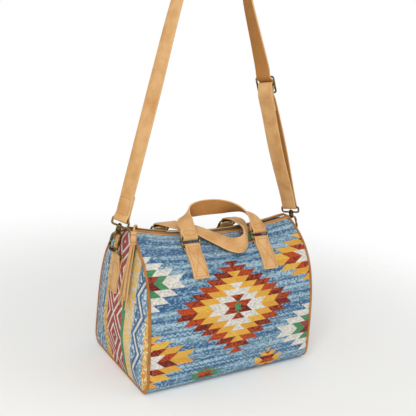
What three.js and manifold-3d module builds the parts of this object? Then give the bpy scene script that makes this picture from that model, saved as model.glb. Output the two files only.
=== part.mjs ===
// Boston bag in flat-woven kilim cloth with tan leather trim, in millimetres.
// +X runs along the bag, -Y is its front, +Z is up. The origin is the middle of the base.
import * as THREE from 'three';
import { mergeVertices } from 'three/addons/utils/BufferGeometryUtils.js';
import Module from 'manifold-3d';

const wasm = await Module();
wasm.setup();

// Body
const LENGTH = 370; // between the two piped end seams
const DEPTH = 240; // front to back at the base
const HEIGHT = 281; // base to zip at the ends
const CORNER_RADIUS = 22; // lower edges
const SIDE_TAPER = 6; // how far the walls lean in below the shoulder
const SIDE_RISE = 178; // height at which the walls start to turn in
const SHOULDER_TAPER = 18; // set-in of the shoulder's pull
const SHOULDER_DROP = 45; // depth of the shoulder's pull below the zip
const WALL = 3; // kilim with its backing
const ZIP_GAP = 18; // opening between the two panel edges
const TOP_SAG = 22; // drop of the zip line at mid length
const SAG_START = 100; // height at which the walls begin to follow that drop
const BELLY = 6; // fullness of front and back at mid length
const BELLY_TOP = 220; // height at which the fullness ends
const END_BULGE = 20; // fullness of each end panel
const END_CENTRE = 125; // height of the end panels' fullest point
const LINING = 1; // lining cloth
const LINING_SETBACK = 7; // lining ends inside the end seams
const LINING_EASE = 0.6; // lining hangs clear of the panel
const BOARD_THICKNESS = 2.5; // stiff base insert
const BOARD_MARGIN = 24; // insert set in from the base outline
const FIT = 0.3; // clearance between pieces that touch

// Piping and zip
const PIPING_RADIUS = 2.5;
const PIPING_PROUD = 1.2; // how far the bead stands out of the wall
const PIPING_RISE = 40; // height over which the bead comes up out of the base
const BINDING_WIDTH = 8;
const BINDING_LEATHER = 1.8;
const BINDING_OVERHANG = 2; // past the panel edge, towards the zip
const TAPE_WIDTH = 13;
const TAPE_THICKNESS = 1.2;
const CHAIN_GAP = 1.8; // between the two rows of teeth
const TAPE_EASE = 1; // tape hangs clear of the panels' inner face
const TOOTH_PITCH = 11;
const TOOTH_LENGTH = 3.2;
const TOOTH_WIDTH = 6;
const ZIP_MARGIN = 5; // zip ends inside the end seams
const SLIDER_LENGTH = 15;
const SLIDER_WIDTH = 11;
const SLIDER_PLATE = 1.6;
const SLIDER_WEB = 0.8; // thickness of the web between the rows of teeth
const SLIDER_END_GAP = 20; // slider's rest from the zip's end
const BRIDGE_LENGTH = 10; // bridge that holds the pull
const PULL_LENGTH = 20; // between the pull's two bars
const PULL_WIDTH = 8; // between the pull's two sides
const PULL_WIRE = 1.2; // radius
const PULL_LIFT = 25; // pull raised over the zip's end, degrees

// Handles and their tabs
const HANDLE_SPACING = 160; // between the two rings of a handle
const FRONT_HANDLE_SHIFT = 4; // front pair sits right of the middle
const BACK_HANDLE_SHIFT = -14; // back pair sits left of the middle
const HANDLE_WIDTH = 31;
const HANDLE_LEATHER = 3.2;
const HANDLE_TURN_IN = 17; // sewn end behind each ring
const HANDLE_LEAN = 35; // front handle and rings lean back, degrees
const ARCH_RISE = 57; // front handle's top above its rings
const LOOP_REACH = 66; // back handle's loop hangs this far in front of the zip
const LOOP_LIFT = 21; // its highest stretch over the cloth
const TAB_WIDTH = 32;
const TAB_LEATHER = 2.2;
const TAB_LENGTH = 74;
const TAB_DOWN = 40; // top of a tab below the panel edge, along the cloth
const TAB_LIFT = 0.9; // room under the fold of a tab
const RING_WIRE = 2; // radius
const RING_INNER = 35;
const RING_PITCH = 16; // between a ring's two bars
const RING_CORNER = 4;
const RING_EASE = 0.5; // between a ring's bars and the leather folded round them

// End tabs, D-rings and snap hooks
const END_TAB_WIDTH = 25;
const END_TAB_LENGTH = 66;
const END_TAB_DOWN = 54; // tab's fold below the zip's ends
const D_RING_WIRE = 2; // radius
const D_RING_INNER = 27;
const D_RING_HEIGHT = 20; // bar to crown, between wire centres
const D_RING_CORNER = 3;
const D_RING_LEAN = 33; // outward, degrees
const HOOK_WIRE = 2.5; // radius
const HOOK_HALF_WIDTH = 9; // wire centre from the hook's axis
const LINK_EASE = 0.7; // slack between a hook's bow and its D-ring
const HOOK_STRAIGHT = 16; // straight stretch between bow and shoulder
const HOOK_LEAN_LEFT = 14; // towards the bag, degrees
const HOOK_LEAN_RIGHT = 21;
const NOSE_RISE = 2.5; // nose above the end of the bow
const GATE_WIRE = 2.2; // radius
const GATE_LUG = 2; // thickness
const GATE_PIN = 1; // radius
const GATE_LUG_WIDTH = 3.5;
const FORK_REACH = 3.1; // prongs of the hook's fork past the gate's pin
const FORK_ROOT = 3.5; // slot of the fork above the pin
const COLLAR_RADIUS = 5;
const COLLAR_HEIGHT = 9;
const COLLAR_CHAMFER = 1;
const POST_RADIUS = 2;
const POST_HEAD = 3.4; // radius
const POST_HEAD_HEIGHT = 2;
const EYE_BOSS = 5.6; // height of the bored boss
const EYE_PITCH = 13; // between the eye's two bars
const EYE_INNER = 33;
const EYE_WIRE = 2; // radius

// Shoulder strap
const STRAP_WIDTH = 30;
const STRAP_LEATHER = 3;
const STRAP_TURN_IN = 46; // sewn end above the left eye
const STRAP_LEFT_TOP = new THREE.Vector2(-118, 406); // left leg meets the arch, above the zip's ends
const STRAP_CROWN = new THREE.Vector2(-46, 501);
const STRAP_RIGHT_TOP = new THREE.Vector2(30, 419); // right leg meets the arch
const SLIDE_AT = new THREE.Vector2(93, 270); // slide buckle's middle bar
const ARCH_SPRING = 18; // arch pushed out and up between a leg's top and the crown
const LEFT_TWIST = 27; // left leg's outer face turns to the front, degrees
const RIGHT_TWIST = -30; // doubled right leg's inner face turns to the front
const DOUBLE_GAP = 9; // between the two layers below the slide
const SLIDE_WIRE = 1.8; // radius
const SLIDE_EASE = 0.9; // between the slide's bars and the leather
const SLIDE_PITCH = 16; // between neighbouring bars
const SLIDE_INNER = 33;
const SLIDE_TURN_IN = 34; // sewn end below the slide

// Tassel
const TASSEL_OUT = 9.5; // head's middle line outside the end seam
const TASSEL_FORWARD = 44; // head in front of the middle
const TASSEL_RISE = 9; // top of the head above the zip's ends
const TASSEL_HEAD = 24; // head length
const TASSEL_RADIUS = 5.5;
const TASSEL_LEATHER = 1.4;
const FRINGE_LENGTH = 118;
const FRINGE_STRIPS = 9;
const FRINGE_WIDTH = 5; // one strip
const FRINGE_SPREAD = 14; // outermost strip's swing-out at its tip
const FRINGE_STEP = 0.07; // share by which neighbouring strips differ in length
const FRINGE_LAYER = 2.4; // between the two layers of strips
const FRINGE_FAN = 0.3; // how far the outermost strips turn to the sides
const FRINGE_OUT = 14; // tips stand out past the end panel's fullness
const LACE_RADIUS = 1.6;
const LACE_RISE = 6; // lace arches over the end of the bag

const HALF = LENGTH / 2;
const UP = new THREE.Vector3(0, 0, 1);
const ALONG_X = new THREE.Vector3(1, 0, 0);
const ALONG_Y = new THREE.Vector3(0, 1, 0);
const SIDES = { left: -1, right: 1 };
const FACES = { front: -1, back: 1 };
const SMOOTH = { ring: 6, hook: 8, length: 8, wall: 10, rim: 7, zip: 14 };

const vec = (x, y, z) => new THREE.Vector3(x, y, z);
const radians = (degrees) => THREE.MathUtils.degToRad(degrees);

// The point reached from a start by steps along given directions.
function walk(start, ...steps) {
  const end = start.clone();
  steps.forEach(([direction, distance]) => end.addScaledVector(direction, distance));
  return end;
}

// Equal steps between two values, both ends included.
function spread(from, to, steps) {
  return Array.from({ length: steps + 1 }, (_, i) => from + (to - from) * i / steps);
}

// Solids

function closedGeometry(points, faces) {
  const volume = faces.reduce((sum, [a, b, c]) => {
    const normal = vec().crossVectors(points[b], points[c]);
    return sum + points[a].dot(normal);
  }, 0);
  const outward = volume > 0 ? faces : faces.map(([a, b, c]) => [a, c, b]);
  const geometry = new THREE.BufferGeometry().setFromPoints(points);
  geometry.setIndex(outward.flat());
  return geometry;
}

// Skins a row of equal rings. Paired rings hold an outer line followed by its inner line reversed,
// and the faces of both lines are split the same way, so that a twist keeps its thickness.
function loft(rings, { loop = false, paired = false } = {}) {
  const count = rings[0].length;
  const faces = [];
  const spans = loop ? rings.length : rings.length - 1;
  for (let span = 0; span < spans; span += 1) {
    const here = span * count;
    const next = ((span + 1) % rings.length) * count;
    for (let j = 0; j < count; j += 1) {
      const k = (j + 1) % count;
      const corners = [here + j, here + k, next + k, next + j];
      if (paired && j >= count / 2) corners.push(corners.shift());
      const [a, b, c, d] = corners;
      faces.push([a, b, c], [a, c, d]);
    }
  }
  if (!loop) {
    const last = (rings.length - 1) * count;
    capFaces(count, paired).forEach(([a, b, c]) => {
      faces.push([a, c, b], [last + a, last + b, last + c]);
    });
  }
  return closedGeometry(rings.flat(), faces);
}

function capFaces(count, paired) {
  const faces = [];
  if (paired) {
    for (let i = 0; i < count / 2 - 1; i += 1) {
      faces.push([i, i + 1, count - 2 - i], [i, count - 2 - i, count - 1 - i]);
    }
    return faces;
  }
  for (let i = 1; i < count - 1; i += 1) faces.push([0, i, i + 1]);
  return faces;
}

function toSolid(geometry) {
  const plain = geometry.clone();
  plain.deleteAttribute('normal');
  plain.deleteAttribute('uv');
  const merged = mergeVertices(plain, 1e-4);
  return new wasm.Manifold(new wasm.Mesh({
    numProp: 3,
    vertProperties: new Float32Array(merged.attributes.position.array),
    triVerts: new Uint32Array(merged.index.array),
  }));
}

function toGeometry(solid) {
  const mesh = solid.getMesh();
  const geometry = new THREE.BufferGeometry();
  geometry.setAttribute('position', new THREE.BufferAttribute(mesh.vertProperties, 3));
  geometry.setIndex(new THREE.BufferAttribute(mesh.triVerts, 1));
  return geometry;
}

function join(...geometries) {
  return toGeometry(geometries.map(toSolid).reduce((sum, solid) => sum.add(solid)));
}

function cut(geometry, ...tools) {
  return toGeometry(tools.map(toSolid).reduce((rest, tool) => rest.subtract(tool), toSolid(geometry)));
}

// A flat strip of leather through stations that give its middle line and its outer face.
function strip(stations, width, thickness, perSpan = 1) {
  const line = new THREE.CatmullRomCurve3(stations.map((station) => station.at));
  const spans = stations.length - 1;
  const rings = [];
  for (let i = 0; i <= spans * perSpan; i += 1) {
    const span = Math.min(Math.floor(i / perSpan), spans - 1);
    const share = i / perSpan - span;
    const along = line.getTangent(i / (spans * perSpan));
    const facing = stations[span].out.clone().lerp(stations[span + 1].out, share);
    const across = vec().crossVectors(along, facing).normalize();
    const out = vec().crossVectors(across, along).normalize();
    const at = line.getPoint(i / (spans * perSpan));
    rings.push([[1, 1], [-1, 1], [-1, -1], [1, -1]].map(([w, t]) => (
      walk(at, [across, w * width / 2], [out, t * thickness / 2]))));
  }
  return loft(rings, { paired: true });
}

// A round wire through points that lie in one plane with the given normal.
function wire(points, normal, radius, sides, loop = false) {
  const count = points.length;
  const rings = points.map((at, i) => {
    const before = points[loop ? (i + count - 1) % count : Math.max(i - 1, 0)];
    const after = points[loop ? (i + 1) % count : Math.min(i + 1, count - 1)];
    const out = vec().subVectors(after, before).cross(normal).normalize();
    return Array.from({ length: sides }, (_, j) => {
      const turn = (j + 0.5) * 2 * Math.PI / sides;
      return walk(at, [out, radius * Math.cos(turn)], [normal, radius * Math.sin(turn)]);
    });
  });
  return loft(rings, { loop });
}

// A turned piece from (radius, height) points, standing at a place along an axis.
function turned(profile, at, axis, sides) {
  const points = profile.map(([radius, height]) => new THREE.Vector2(radius, height));
  const geometry = new THREE.LatheGeometry(points, sides);
  geometry.applyQuaternion(new THREE.Quaternion().setFromUnitVectors(ALONG_Y, axis));
  return geometry.translate(at.x, at.y, at.z);
}

function rod(at, axis, radius, from, to, sides) {
  return turned([[0, from], [radius, from], [radius, to], [0, to]], at, axis, sides);
}

function block(width, depth, height, at) {
  return new THREE.BoxGeometry(width, depth, height).translate(at.x, at.y, at.z);
}

// Points of an upright rounded frame in a plane given by two directions.
function roundedFrame(centre, across, up, halfWidth, halfHeight, corner, perCorner = 3) {
  const points = [];
  [[1, 1], [-1, 1], [-1, -1], [1, -1]].forEach(([sx, sy], quarter) => {
    for (let i = 0; i < perCorner; i += 1) {
      const turn = (quarter + i / (perCorner - 1)) * Math.PI / 2;
      points.push(walk(
        centre,
        [across, sx * (halfWidth - corner) + corner * Math.cos(turn)],
        [up, sy * (halfHeight - corner) + corner * Math.sin(turn)],
      ));
    }
  });
  return points;
}

// Soft shape of the body

const ZIP_EDGE = ZIP_GAP / 2;
const BASE_HALF = DEPTH / 2;
const baseLine = new THREE.LineCurve(
  new THREE.Vector2(0, 0),
  new THREE.Vector2(BASE_HALF - CORNER_RADIUS, 0),
);
const lowerCorner = new THREE.EllipseCurve(
  BASE_HALF - CORNER_RADIUS, CORNER_RADIUS, CORNER_RADIUS, CORNER_RADIUS, -Math.PI / 2, 0,
);
const sideWall = new THREE.CubicBezierCurve(
  new THREE.Vector2(BASE_HALF, CORNER_RADIUS),
  new THREE.Vector2(BASE_HALF - SIDE_TAPER, SIDE_RISE),
  new THREE.Vector2(BASE_HALF - SHOULDER_TAPER, HEIGHT - SHOULDER_DROP),
  new THREE.Vector2(ZIP_EDGE, HEIGHT),
);

// Stations of the half section from the middle of the base to the panel edge.
function sectionStations(wallSteps) {
  const pieces = [[baseLine, 2], [lowerCorner, 4], [sideWall, wallSteps]];
  const stations = [];
  pieces.forEach(([curve, steps], piece) => {
    const last = piece === pieces.length - 1 ? steps : steps - 1;
    for (let i = 0; i <= last; i += 1) {
      const tangent = curve.getTangent(i / steps);
      stations.push({ at: curve.getPoint(i / steps), out: new THREE.Vector2(tangent.y, -tangent.x) });
    }
  });
  return stations;
}

// The zip line hangs in an arc of a circle between the two ends.
const SAG_RADIUS = (HALF ** 2 + TOP_SAG ** 2) / (2 * TOP_SAG);
const zipDrop = (x) => Math.max(TOP_SAG - SAG_RADIUS + Math.sqrt(SAG_RADIUS ** 2 - x ** 2), 0);

// Moves a point of the straight section to its place on the soft body.
function soften(x, face, out, up, height) {
  const share = Math.max(1 - (x / HALF) ** 2, 0);
  const full = BELLY * share * Math.sin(Math.PI * Math.min(height / BELLY_TOP, 1));
  const follow = THREE.MathUtils.clamp((height - SAG_START) / (HEIGHT - SAG_START), 0, 1) ** 4;
  return vec(x, face * (out + full), up - zipDrop(x) * follow);
}

// The whole section at x, from the front edge under the base to the back edge.
function sectionLine(x, inset, stations) {
  const half = (face) => stations.map(({ at, out }) => (
    soften(x, face, Math.max(at.x - inset * out.x, 0), at.y - inset * out.y, at.y)));
  const front = half(FACES.front).reverse();
  return front.concat(half(FACES.back).slice(1));
}

// A place on a panel's outer face, measured along the cloth down from its edge.
function onPanel(x, face, down) {
  const wallLength = sideWall.getLength();
  const place = (px, distance) => {
    const at = sideWall.getPointAt(1 - distance / wallLength);
    return soften(px, face, at.x, at.y, at.y);
  };
  const up = vec().subVectors(place(x, down - 1), place(x, down + 1)).normalize();
  const along = vec().subVectors(place(x + 1, down), place(x - 1, down)).normalize();
  const out = vec().crossVectors(along, up).multiplyScalar(-face).normalize();
  return { at: place(x, down), up, out };
}

// Height of the body's upper surface at (x, y).
function crest(x, y) {
  if (Math.abs(y) <= ZIP_EDGE) return HEIGHT - zipDrop(x);
  let low = 0;
  let high = 1;
  for (let i = 0; i < 24; i += 1) {
    const middle = (low + high) / 2;
    const point = sideWall.getPoint(middle);
    if (Math.abs(soften(x, 1, point.x, point.y, point.y).y) > Math.abs(y)) low = middle;
    else high = middle;
  }
  const found = sideWall.getPoint(low);
  return soften(x, 1, found.x, found.y, found.y).z;
}

// Body pieces

const PANEL_HALF = HALF - PIPING_RADIUS - FIT;
const RIM_INSET = 2 * PIPING_RADIUS + FIT;

const BODY_STATIONS = spread(-PANEL_HALF, PANEL_HALF, SMOOTH.length);

function mainPanel() {
  const stations = sectionStations(SMOOTH.wall);
  const rings = BODY_STATIONS.map((x) => (
    sectionLine(x, 0, stations).concat(sectionLine(x, WALL, stations).reverse())));
  return loft(rings, { paired: true });
}

function endOutline(x, inset, wallSteps) {
  return sectionLine(HALF, inset, sectionStations(wallSteps)).map((point) => vec(x, point.y, point.z));
}

// Rings of an end panel, as shares of the way from its fullest point to its rim.
const END_RINGS = [0.03, 0.3, 0.58, 0.82, 1];

function endPanel(side) {
  const rim = endOutline(0, RIM_INSET, SMOOTH.rim);
  const ring = (share, thickness) => rim.map((point) => vec(
    side * (HALF + thickness + END_BULGE * (1 - share ** 2)),
    point.y * share,
    END_CENTRE + (point.z - END_CENTRE) * share,
  ));
  const inner = END_RINGS.map((share) => ring(share, -WALL / 2));
  const outer = END_RINGS.map((share) => ring(share, WALL / 2)).reverse();
  return loft(inner.concat(outer));
}

// A place on an end panel's centre line.
function onEnd(side, height) {
  const reach = HEIGHT - RIM_INSET - END_CENTRE;
  const place = (z) => {
    const share = (z - END_CENTRE) / reach;
    return vec(side * (HALF + WALL / 2 + END_BULGE * (1 - share ** 2)), 0, z);
  };
  const up = vec().subVectors(place(height + 1), place(height - 1)).normalize();
  const out = vec().crossVectors(ALONG_Y, up).multiplyScalar(side).normalize();
  return { at: place(height), up, out };
}

function piping(side) {
  const stations = sectionStations(SMOOTH.wall);
  const bead = (station) => {
    const rise = THREE.MathUtils.smoothstep(station.at.y, 0, PIPING_RISE);
    const inset = PIPING_RADIUS - PIPING_PROUD * rise;
    return station.at.clone().addScaledVector(station.out, -inset);
  };
  const half = stations.map(bead);
  const front = half.map((point) => vec(side * HALF, -point.x, point.y)).reverse();
  const back = half.slice(1).map((point) => vec(side * HALF, point.x, point.y));
  return wire(front.concat(back), ALONG_X, PIPING_RADIUS, SMOOTH.ring, true);
}

const LINING_HALF = HALF - LINING_SETBACK;
const ZIP_HALF = HALF - ZIP_MARGIN;
const TAPE_OUTER = CHAIN_GAP / 2 + TAPE_WIDTH;
const EDGE_SLOPE = sideWall.getTangent(1).y / sideWall.getTangent(1).x;
const TAPE_TOP = crest(HALF, TAPE_OUTER) - WALL * Math.hypot(1, EDGE_SLOPE) - TAPE_EASE;

function lining() {
  const stations = sectionStations(SMOOTH.wall / 2);
  const shell = (inset, half) => loft(BODY_STATIONS.map((x) => (
    sectionLine(THREE.MathUtils.clamp(x, -half, half), inset, stations))));
  const outer = shell(WALL + LINING_EASE, LINING_HALF);
  const inner = shell(WALL + LINING_EASE + LINING, LINING_HALF - LINING);
  const mouthFloor = TAPE_TOP - TOP_SAG - TAPE_WIDTH / 2;
  const mouth = block(LENGTH, 2 * (TAPE_OUTER + TAPE_EASE), HEIGHT, vec(0, 0, mouthFloor + HEIGHT / 2));
  return cut(outer, inner, mouth);
}

function baseBoard() {
  const half = new THREE.Vector2(LINING_HALF - BOARD_MARGIN / 2, BASE_HALF - BOARD_MARGIN);
  const outline = roundedFrame(vec(0, 0, 0), ALONG_X, ALONG_Y, half.x, half.y, CORNER_RADIUS, 5);
  const shape = new THREE.Shape(outline.map((point) => new THREE.Vector2(point.x, point.y)));
  const floor = WALL + LINING_EASE + LINING + FIT;
  return new THREE.ExtrudeGeometry(shape, { depth: BOARD_THICKNESS, bevelEnabled: false })
    .translate(0, 0, floor);
}

// Zip

// One tape with its row of teeth, notched out of a strip that hangs on the zip line.
function zipTape(face) {
  const middle = face * (CHAIN_GAP + TAPE_WIDTH) / 2;
  const stations = spread(-ZIP_HALF, ZIP_HALF, SMOOTH.zip).map((x) => ({
    at: vec(x, middle, TAPE_TOP - TAPE_THICKNESS / 2 - zipDrop(x)), out: UP,
  }));
  const notchWidth = TOOTH_PITCH - TOOTH_WIDTH;
  const last = Math.floor(ZIP_HALF / TOOTH_PITCH) - 1;
  const notches = spread(-last, last, 2 * last).map((step) => {
    const x = step * TOOTH_PITCH + face * TOOTH_PITCH / 4;
    const at = vec(x, face * CHAIN_GAP / 2, TAPE_TOP - zipDrop(x));
    return block(notchWidth, 2 * TOOTH_LENGTH, 4 * TAPE_THICKNESS, at);
  });
  return cut(strip(stations, TAPE_WIDTH, TAPE_THICKNESS), ...notches);
}

// Leather strip over the panel's raw edge.
function zipBinding(face) {
  const stations = spread(-ZIP_HALF, ZIP_HALF, SMOOTH.zip).map((x) => {
    const middle = onPanel(x, face, BINDING_WIDTH / 2 - BINDING_OVERHANG);
    const out = vec(0, middle.out.y, middle.out.z).normalize();
    return { at: walk(middle.at, [out, BINDING_LEATHER / 2 + 2 * FIT]), out };
  });
  return strip(stations, BINDING_WIDTH, BINDING_LEATHER);
}

const SLIDER_X = -ZIP_HALF + SLIDER_END_GAP + SLIDER_LENGTH / 2;
const SLIDER_FLOOR = TAPE_TOP + FIT;
const SLIDER_CEILING = TAPE_TOP - TAPE_THICKNESS - FIT;
const BRIDGE_TOP = SLIDER_FLOOR + SLIDER_PLATE + 3 * PULL_WIRE + 2 * FIT;
const PULL_PIVOT = vec(-BRIDGE_LENGTH / 4, 0, SLIDER_FLOOR + SLIDER_PLATE + PULL_WIRE + FIT);
const PULL_DIRECTION = vec(-Math.cos(radians(PULL_LIFT)), 0, Math.sin(radians(PULL_LIFT)));
const ZIP_CENTRE = TAPE_TOP - TOP_SAG + SAG_RADIUS;

// Carries a piece from mid length round the zip line's arc to the slider's rest.
const toSlider = new THREE.Matrix4()
  .makeTranslation(0, 0, ZIP_CENTRE)
  .multiply(new THREE.Matrix4().makeRotationY(-Math.asin(SLIDER_X / SAG_RADIUS)))
  .multiply(new THREE.Matrix4().makeTranslation(0, 0, -ZIP_CENTRE - TOP_SAG));

// Two plates on a web between the rows of teeth, with a bridge for the pull.
function zipSlider() {
  const plate = (middle) => block(SLIDER_LENGTH, SLIDER_WIDTH, SLIDER_PLATE, vec(0, 0, middle));
  const upper = plate(SLIDER_FLOOR + SLIDER_PLATE / 2);
  const lower = plate(SLIDER_CEILING - SLIDER_PLATE / 2);
  const webHeight = SLIDER_FLOOR - SLIDER_CEILING + SLIDER_PLATE;
  const web = block(BRIDGE_LENGTH, SLIDER_WEB, webHeight, vec(0, 0, (SLIDER_FLOOR + SLIDER_CEILING) / 2));
  const foot = SLIDER_FLOOR + SLIDER_PLATE / 2;
  const reach = BRIDGE_LENGTH / 2;
  const bridge = wire([
    vec(-reach, 0, foot),
    vec(-reach, 0, BRIDGE_TOP - PULL_WIRE),
    vec(-reach + PULL_WIRE, 0, BRIDGE_TOP),
    vec(reach - PULL_WIRE, 0, BRIDGE_TOP),
    vec(reach, 0, BRIDGE_TOP - PULL_WIRE),
    vec(reach, 0, foot),
  ], ALONG_Y, PULL_WIRE, SMOOTH.ring);
  return join(upper, lower, web, bridge).applyMatrix4(toSlider);
}

function zipPull() {
  const middle = walk(PULL_PIVOT, [PULL_DIRECTION, PULL_LENGTH / 2]);
  const frame = roundedFrame(
    middle, ALONG_Y, PULL_DIRECTION, PULL_WIDTH / 2, PULL_LENGTH / 2, 2 * PULL_WIRE,
  );
  const normal = vec().crossVectors(ALONG_Y, PULL_DIRECTION);
  return wire(frame, normal, PULL_WIRE, SMOOTH.ring, true).applyMatrix4(toSlider);
}

// Tassel on the pull

const PULL_TIP = walk(PULL_PIVOT, [PULL_DIRECTION, PULL_LENGTH]).applyMatrix4(toSlider);
const HEAD_TOP = vec(-HALF - TASSEL_OUT, -TASSEL_FORWARD, HEIGHT + TASSEL_RISE);
const HEAD_FOOT = walk(HEAD_TOP, [UP, -TASSEL_HEAD]);

// A lace through the pull, over the end of the bag to the tassel's head.
function tasselLace() {
  const grip = PULL_WIRE + LACE_RADIUS + 2 * FIT;
  const path = new THREE.CatmullRomCurve3([
    walk(PULL_TIP, [ALONG_X, grip], [UP, -grip]),
    walk(PULL_TIP, [ALONG_X, grip]),
    walk(PULL_TIP, [ALONG_X, grip / 2], [UP, grip]),
    walk(PULL_TIP, [ALONG_X, -grip], [UP, grip], [ALONG_Y, -grip]),
    walk(PULL_TIP.clone().lerp(HEAD_TOP, 0.5), [UP, LACE_RISE]),
    walk(HEAD_TOP, [UP, 3 * LACE_RADIUS]),
    walk(HEAD_TOP, [UP, FIT]),
  ]);
  const round = new THREE.Shape().absarc(0, 0, LACE_RADIUS, 0, 2 * Math.PI);
  return new THREE.ExtrudeGeometry(round, {
    steps: 10, curveSegments: 4, bevelEnabled: false, extrudePath: path,
  });
}

// A rolled band of leather round the strips.
function tasselBand() {
  const bore = TASSEL_RADIUS - TASSEL_LEATHER;
  return cut(
    rod(HEAD_FOOT, UP, TASSEL_RADIUS, 0, TASSEL_HEAD, 10),
    rod(HEAD_FOOT, UP, bore, -1, TASSEL_HEAD + 1, 10),
  );
}

// How a strip falls: shares of its length, of its swing to the side, and of its way out.
const FRINGE_FALL = [[0, 0.1, 0], [0.2, 0.2, 0.21], [0.55, 0.6, 0.64], [1, 1, 1]];

function tasselFringe() {
  const core = TASSEL_RADIUS - TASSEL_LEATHER - FIT;
  const strips = Array.from({ length: FRINGE_STRIPS }, (_, i) => {
    const share = 2 * i / (FRINGE_STRIPS - 1) - 1;
    const layer = i % 2;
    const drop = FRINGE_LENGTH * (1 - FRINGE_STEP * ((i * 3) % 4));
    const stations = FRINGE_FALL.map(([down, swing, out]) => ({
      at: vec(
        HEAD_FOOT.x - out * FRINGE_OUT - FRINGE_LAYER * layer,
        HEAD_FOOT.y + share * (core - 1) * (1 - swing) + share * FRINGE_SPREAD * swing,
        HEAD_FOOT.z - 2 * FIT - down * drop,
      ),
      out: vec(-1, share * FRINGE_FAN, 0).normalize(),
    }));
    return strip(stations, FRINGE_WIDTH, TASSEL_LEATHER);
  });
  return join(rod(HEAD_FOOT, UP, core, -3, TASSEL_HEAD - FIT, 10), ...strips);
}

// Handles

// The fold of a strip round a bar: half a turn from one side of the bar to the other.
function fold(bar, first, lead, radius, steps = 4) {
  return spread(0, Math.PI, steps).map((turn) => {
    const out = walk(vec(0, 0, 0), [first, Math.cos(turn)], [lead, Math.sin(turn)]);
    return { at: walk(bar, [out, radius]), out };
  });
}

const handleX = (shift, side) => shift + side * HANDLE_SPACING / 2;
const TAB_FOLD = RING_WIRE + RING_EASE + TAB_LEATHER / 2;

// Place of a ring's lower bar, in the fold of its tab.
function ringSeat(x, face) {
  const top = onPanel(x, face, TAB_DOWN + TAB_FOLD);
  const out = vec(0, top.out.y, top.out.z).normalize();
  const up = vec(0, top.up.y, top.up.z).normalize();
  return { bar: walk(top.at, [out, FIT + TAB_LIFT + TAB_LEATHER / 2 + TAB_FOLD]), out, up };
}

// A doubled tab sewn to the panel and folded round a ring's lower bar.
function handleTab(x, face) {
  const seat = ringSeat(x, face);
  const layer = (down, height) => {
    const place = onPanel(x, face, TAB_DOWN + down);
    return walk(place.at, [place.out, height]);
  };
  const under = FIT + TAB_LEATHER / 2;
  const over = under + TAB_LEATHER + FIT;
  const downs = spread(TAB_LENGTH, TAB_LENGTH / 4, 3);
  const faceAt = (down) => onPanel(x, face, TAB_DOWN + down).out;
  const inner = downs.map((down) => ({
    at: layer(down, under + TAB_LIFT * (1 - down / TAB_LENGTH)), out: faceAt(down).negate(),
  }));
  const outer = downs.map((down) => ({
    at: layer(down, over + TAB_LIFT * (1 - down / TAB_LENGTH)), out: faceAt(down),
  })).reverse();
  const turn = fold(seat.bar, seat.out.clone().negate(), seat.up, TAB_FOLD);
  return strip([...inner, ...turn, ...outer], TAB_WIDTH, TAB_LEATHER);
}

const leanBack = (face) => vec(0, -face * Math.sin(radians(HANDLE_LEAN)), Math.cos(radians(HANDLE_LEAN)));

function handleRing(x, face) {
  const lower = ringSeat(x, face).bar;
  const up = leanBack(face);
  const middle = walk(lower, [up, RING_PITCH / 2]);
  const frame = roundedFrame(
    middle, ALONG_X, up, RING_INNER / 2 + RING_WIRE, RING_PITCH / 2, RING_CORNER,
  );
  return wire(frame, vec().crossVectors(ALONG_X, up), RING_WIRE, SMOOTH.ring, true);
}

const HANDLE_FOLD = RING_WIRE + RING_EASE + HANDLE_LEATHER / 2;
const ringTop = (x, face) => walk(ringSeat(x, face).bar, [leanBack(face), RING_PITCH]);

// One end of a handle: the sewn turn-in and its fold round a ring's upper bar.
function handleEnd(bar, along, out) {
  const behind = -(HANDLE_LEATHER + FIT);
  const inward = out.clone().negate();
  const turnIn = [HANDLE_TURN_IN, HANDLE_TURN_IN / 2].map((distance) => ({
    at: walk(bar, [along, distance], [out, behind]), out: inward,
  }));
  return [...turnIn, ...fold(bar, inward, along.clone().negate(), HANDLE_FOLD)];
}

// The front handle stands and leans back. Each station gives the middle line's place along and up
// the leaning plane, as shares of the spacing and the rise, and how far the outer face has turned
// from the front round to the outside.
const FRONT_ROUTE = [
  [0, 0.19, 0], [0, 0.37, 0], [-0.013, 0.56, 30], [0, 0.74, 76], [0.064, 0.89, 120], [0.217, 0.98, 148],
  [0.42, 1, 150], [0.611, 0.95, 120], [0.771, 0.84, 86], [0.885, 0.685, 54], [0.962, 0.475, 18], [1, 0.23, 0],
];

function handleFront() {
  const left = ringTop(handleX(FRONT_HANDLE_SHIFT, SIDES.left), FACES.front);
  const right = ringTop(handleX(FRONT_HANDLE_SHIFT, SIDES.right), FACES.front);
  const up = leanBack(FACES.front);
  const front = vec().crossVectors(ALONG_X, up).normalize();
  const places = FRONT_ROUTE.map(([along, rise]) => (
    new THREE.Vector2(along * HANDLE_SPACING, rise * ARCH_RISE)));
  const stations = FRONT_ROUTE.map(([along, , turn], i) => {
    const before = places[Math.max(i - 1, 0)];
    const after = places[Math.min(i + 1, places.length - 1)];
    const run = after.clone().sub(before).normalize();
    const outside = walk(vec(0, 0, 0), [ALONG_X, -run.y], [up, run.x]);
    return {
      at: walk(left.clone().lerp(right, along), [up, places[i].y]),
      out: walk(vec(0, 0, 0), [front, Math.cos(radians(turn))], [outside, Math.sin(radians(turn))]),
    };
  });
  const leftEnd = handleEnd(left, up, front);
  const rightEnd = handleEnd(right, up, front).reverse();
  return strip([...leftEnd, ...stations, ...rightEnd], HANDLE_WIDTH, HANDLE_LEATHER, 2);
}

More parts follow.
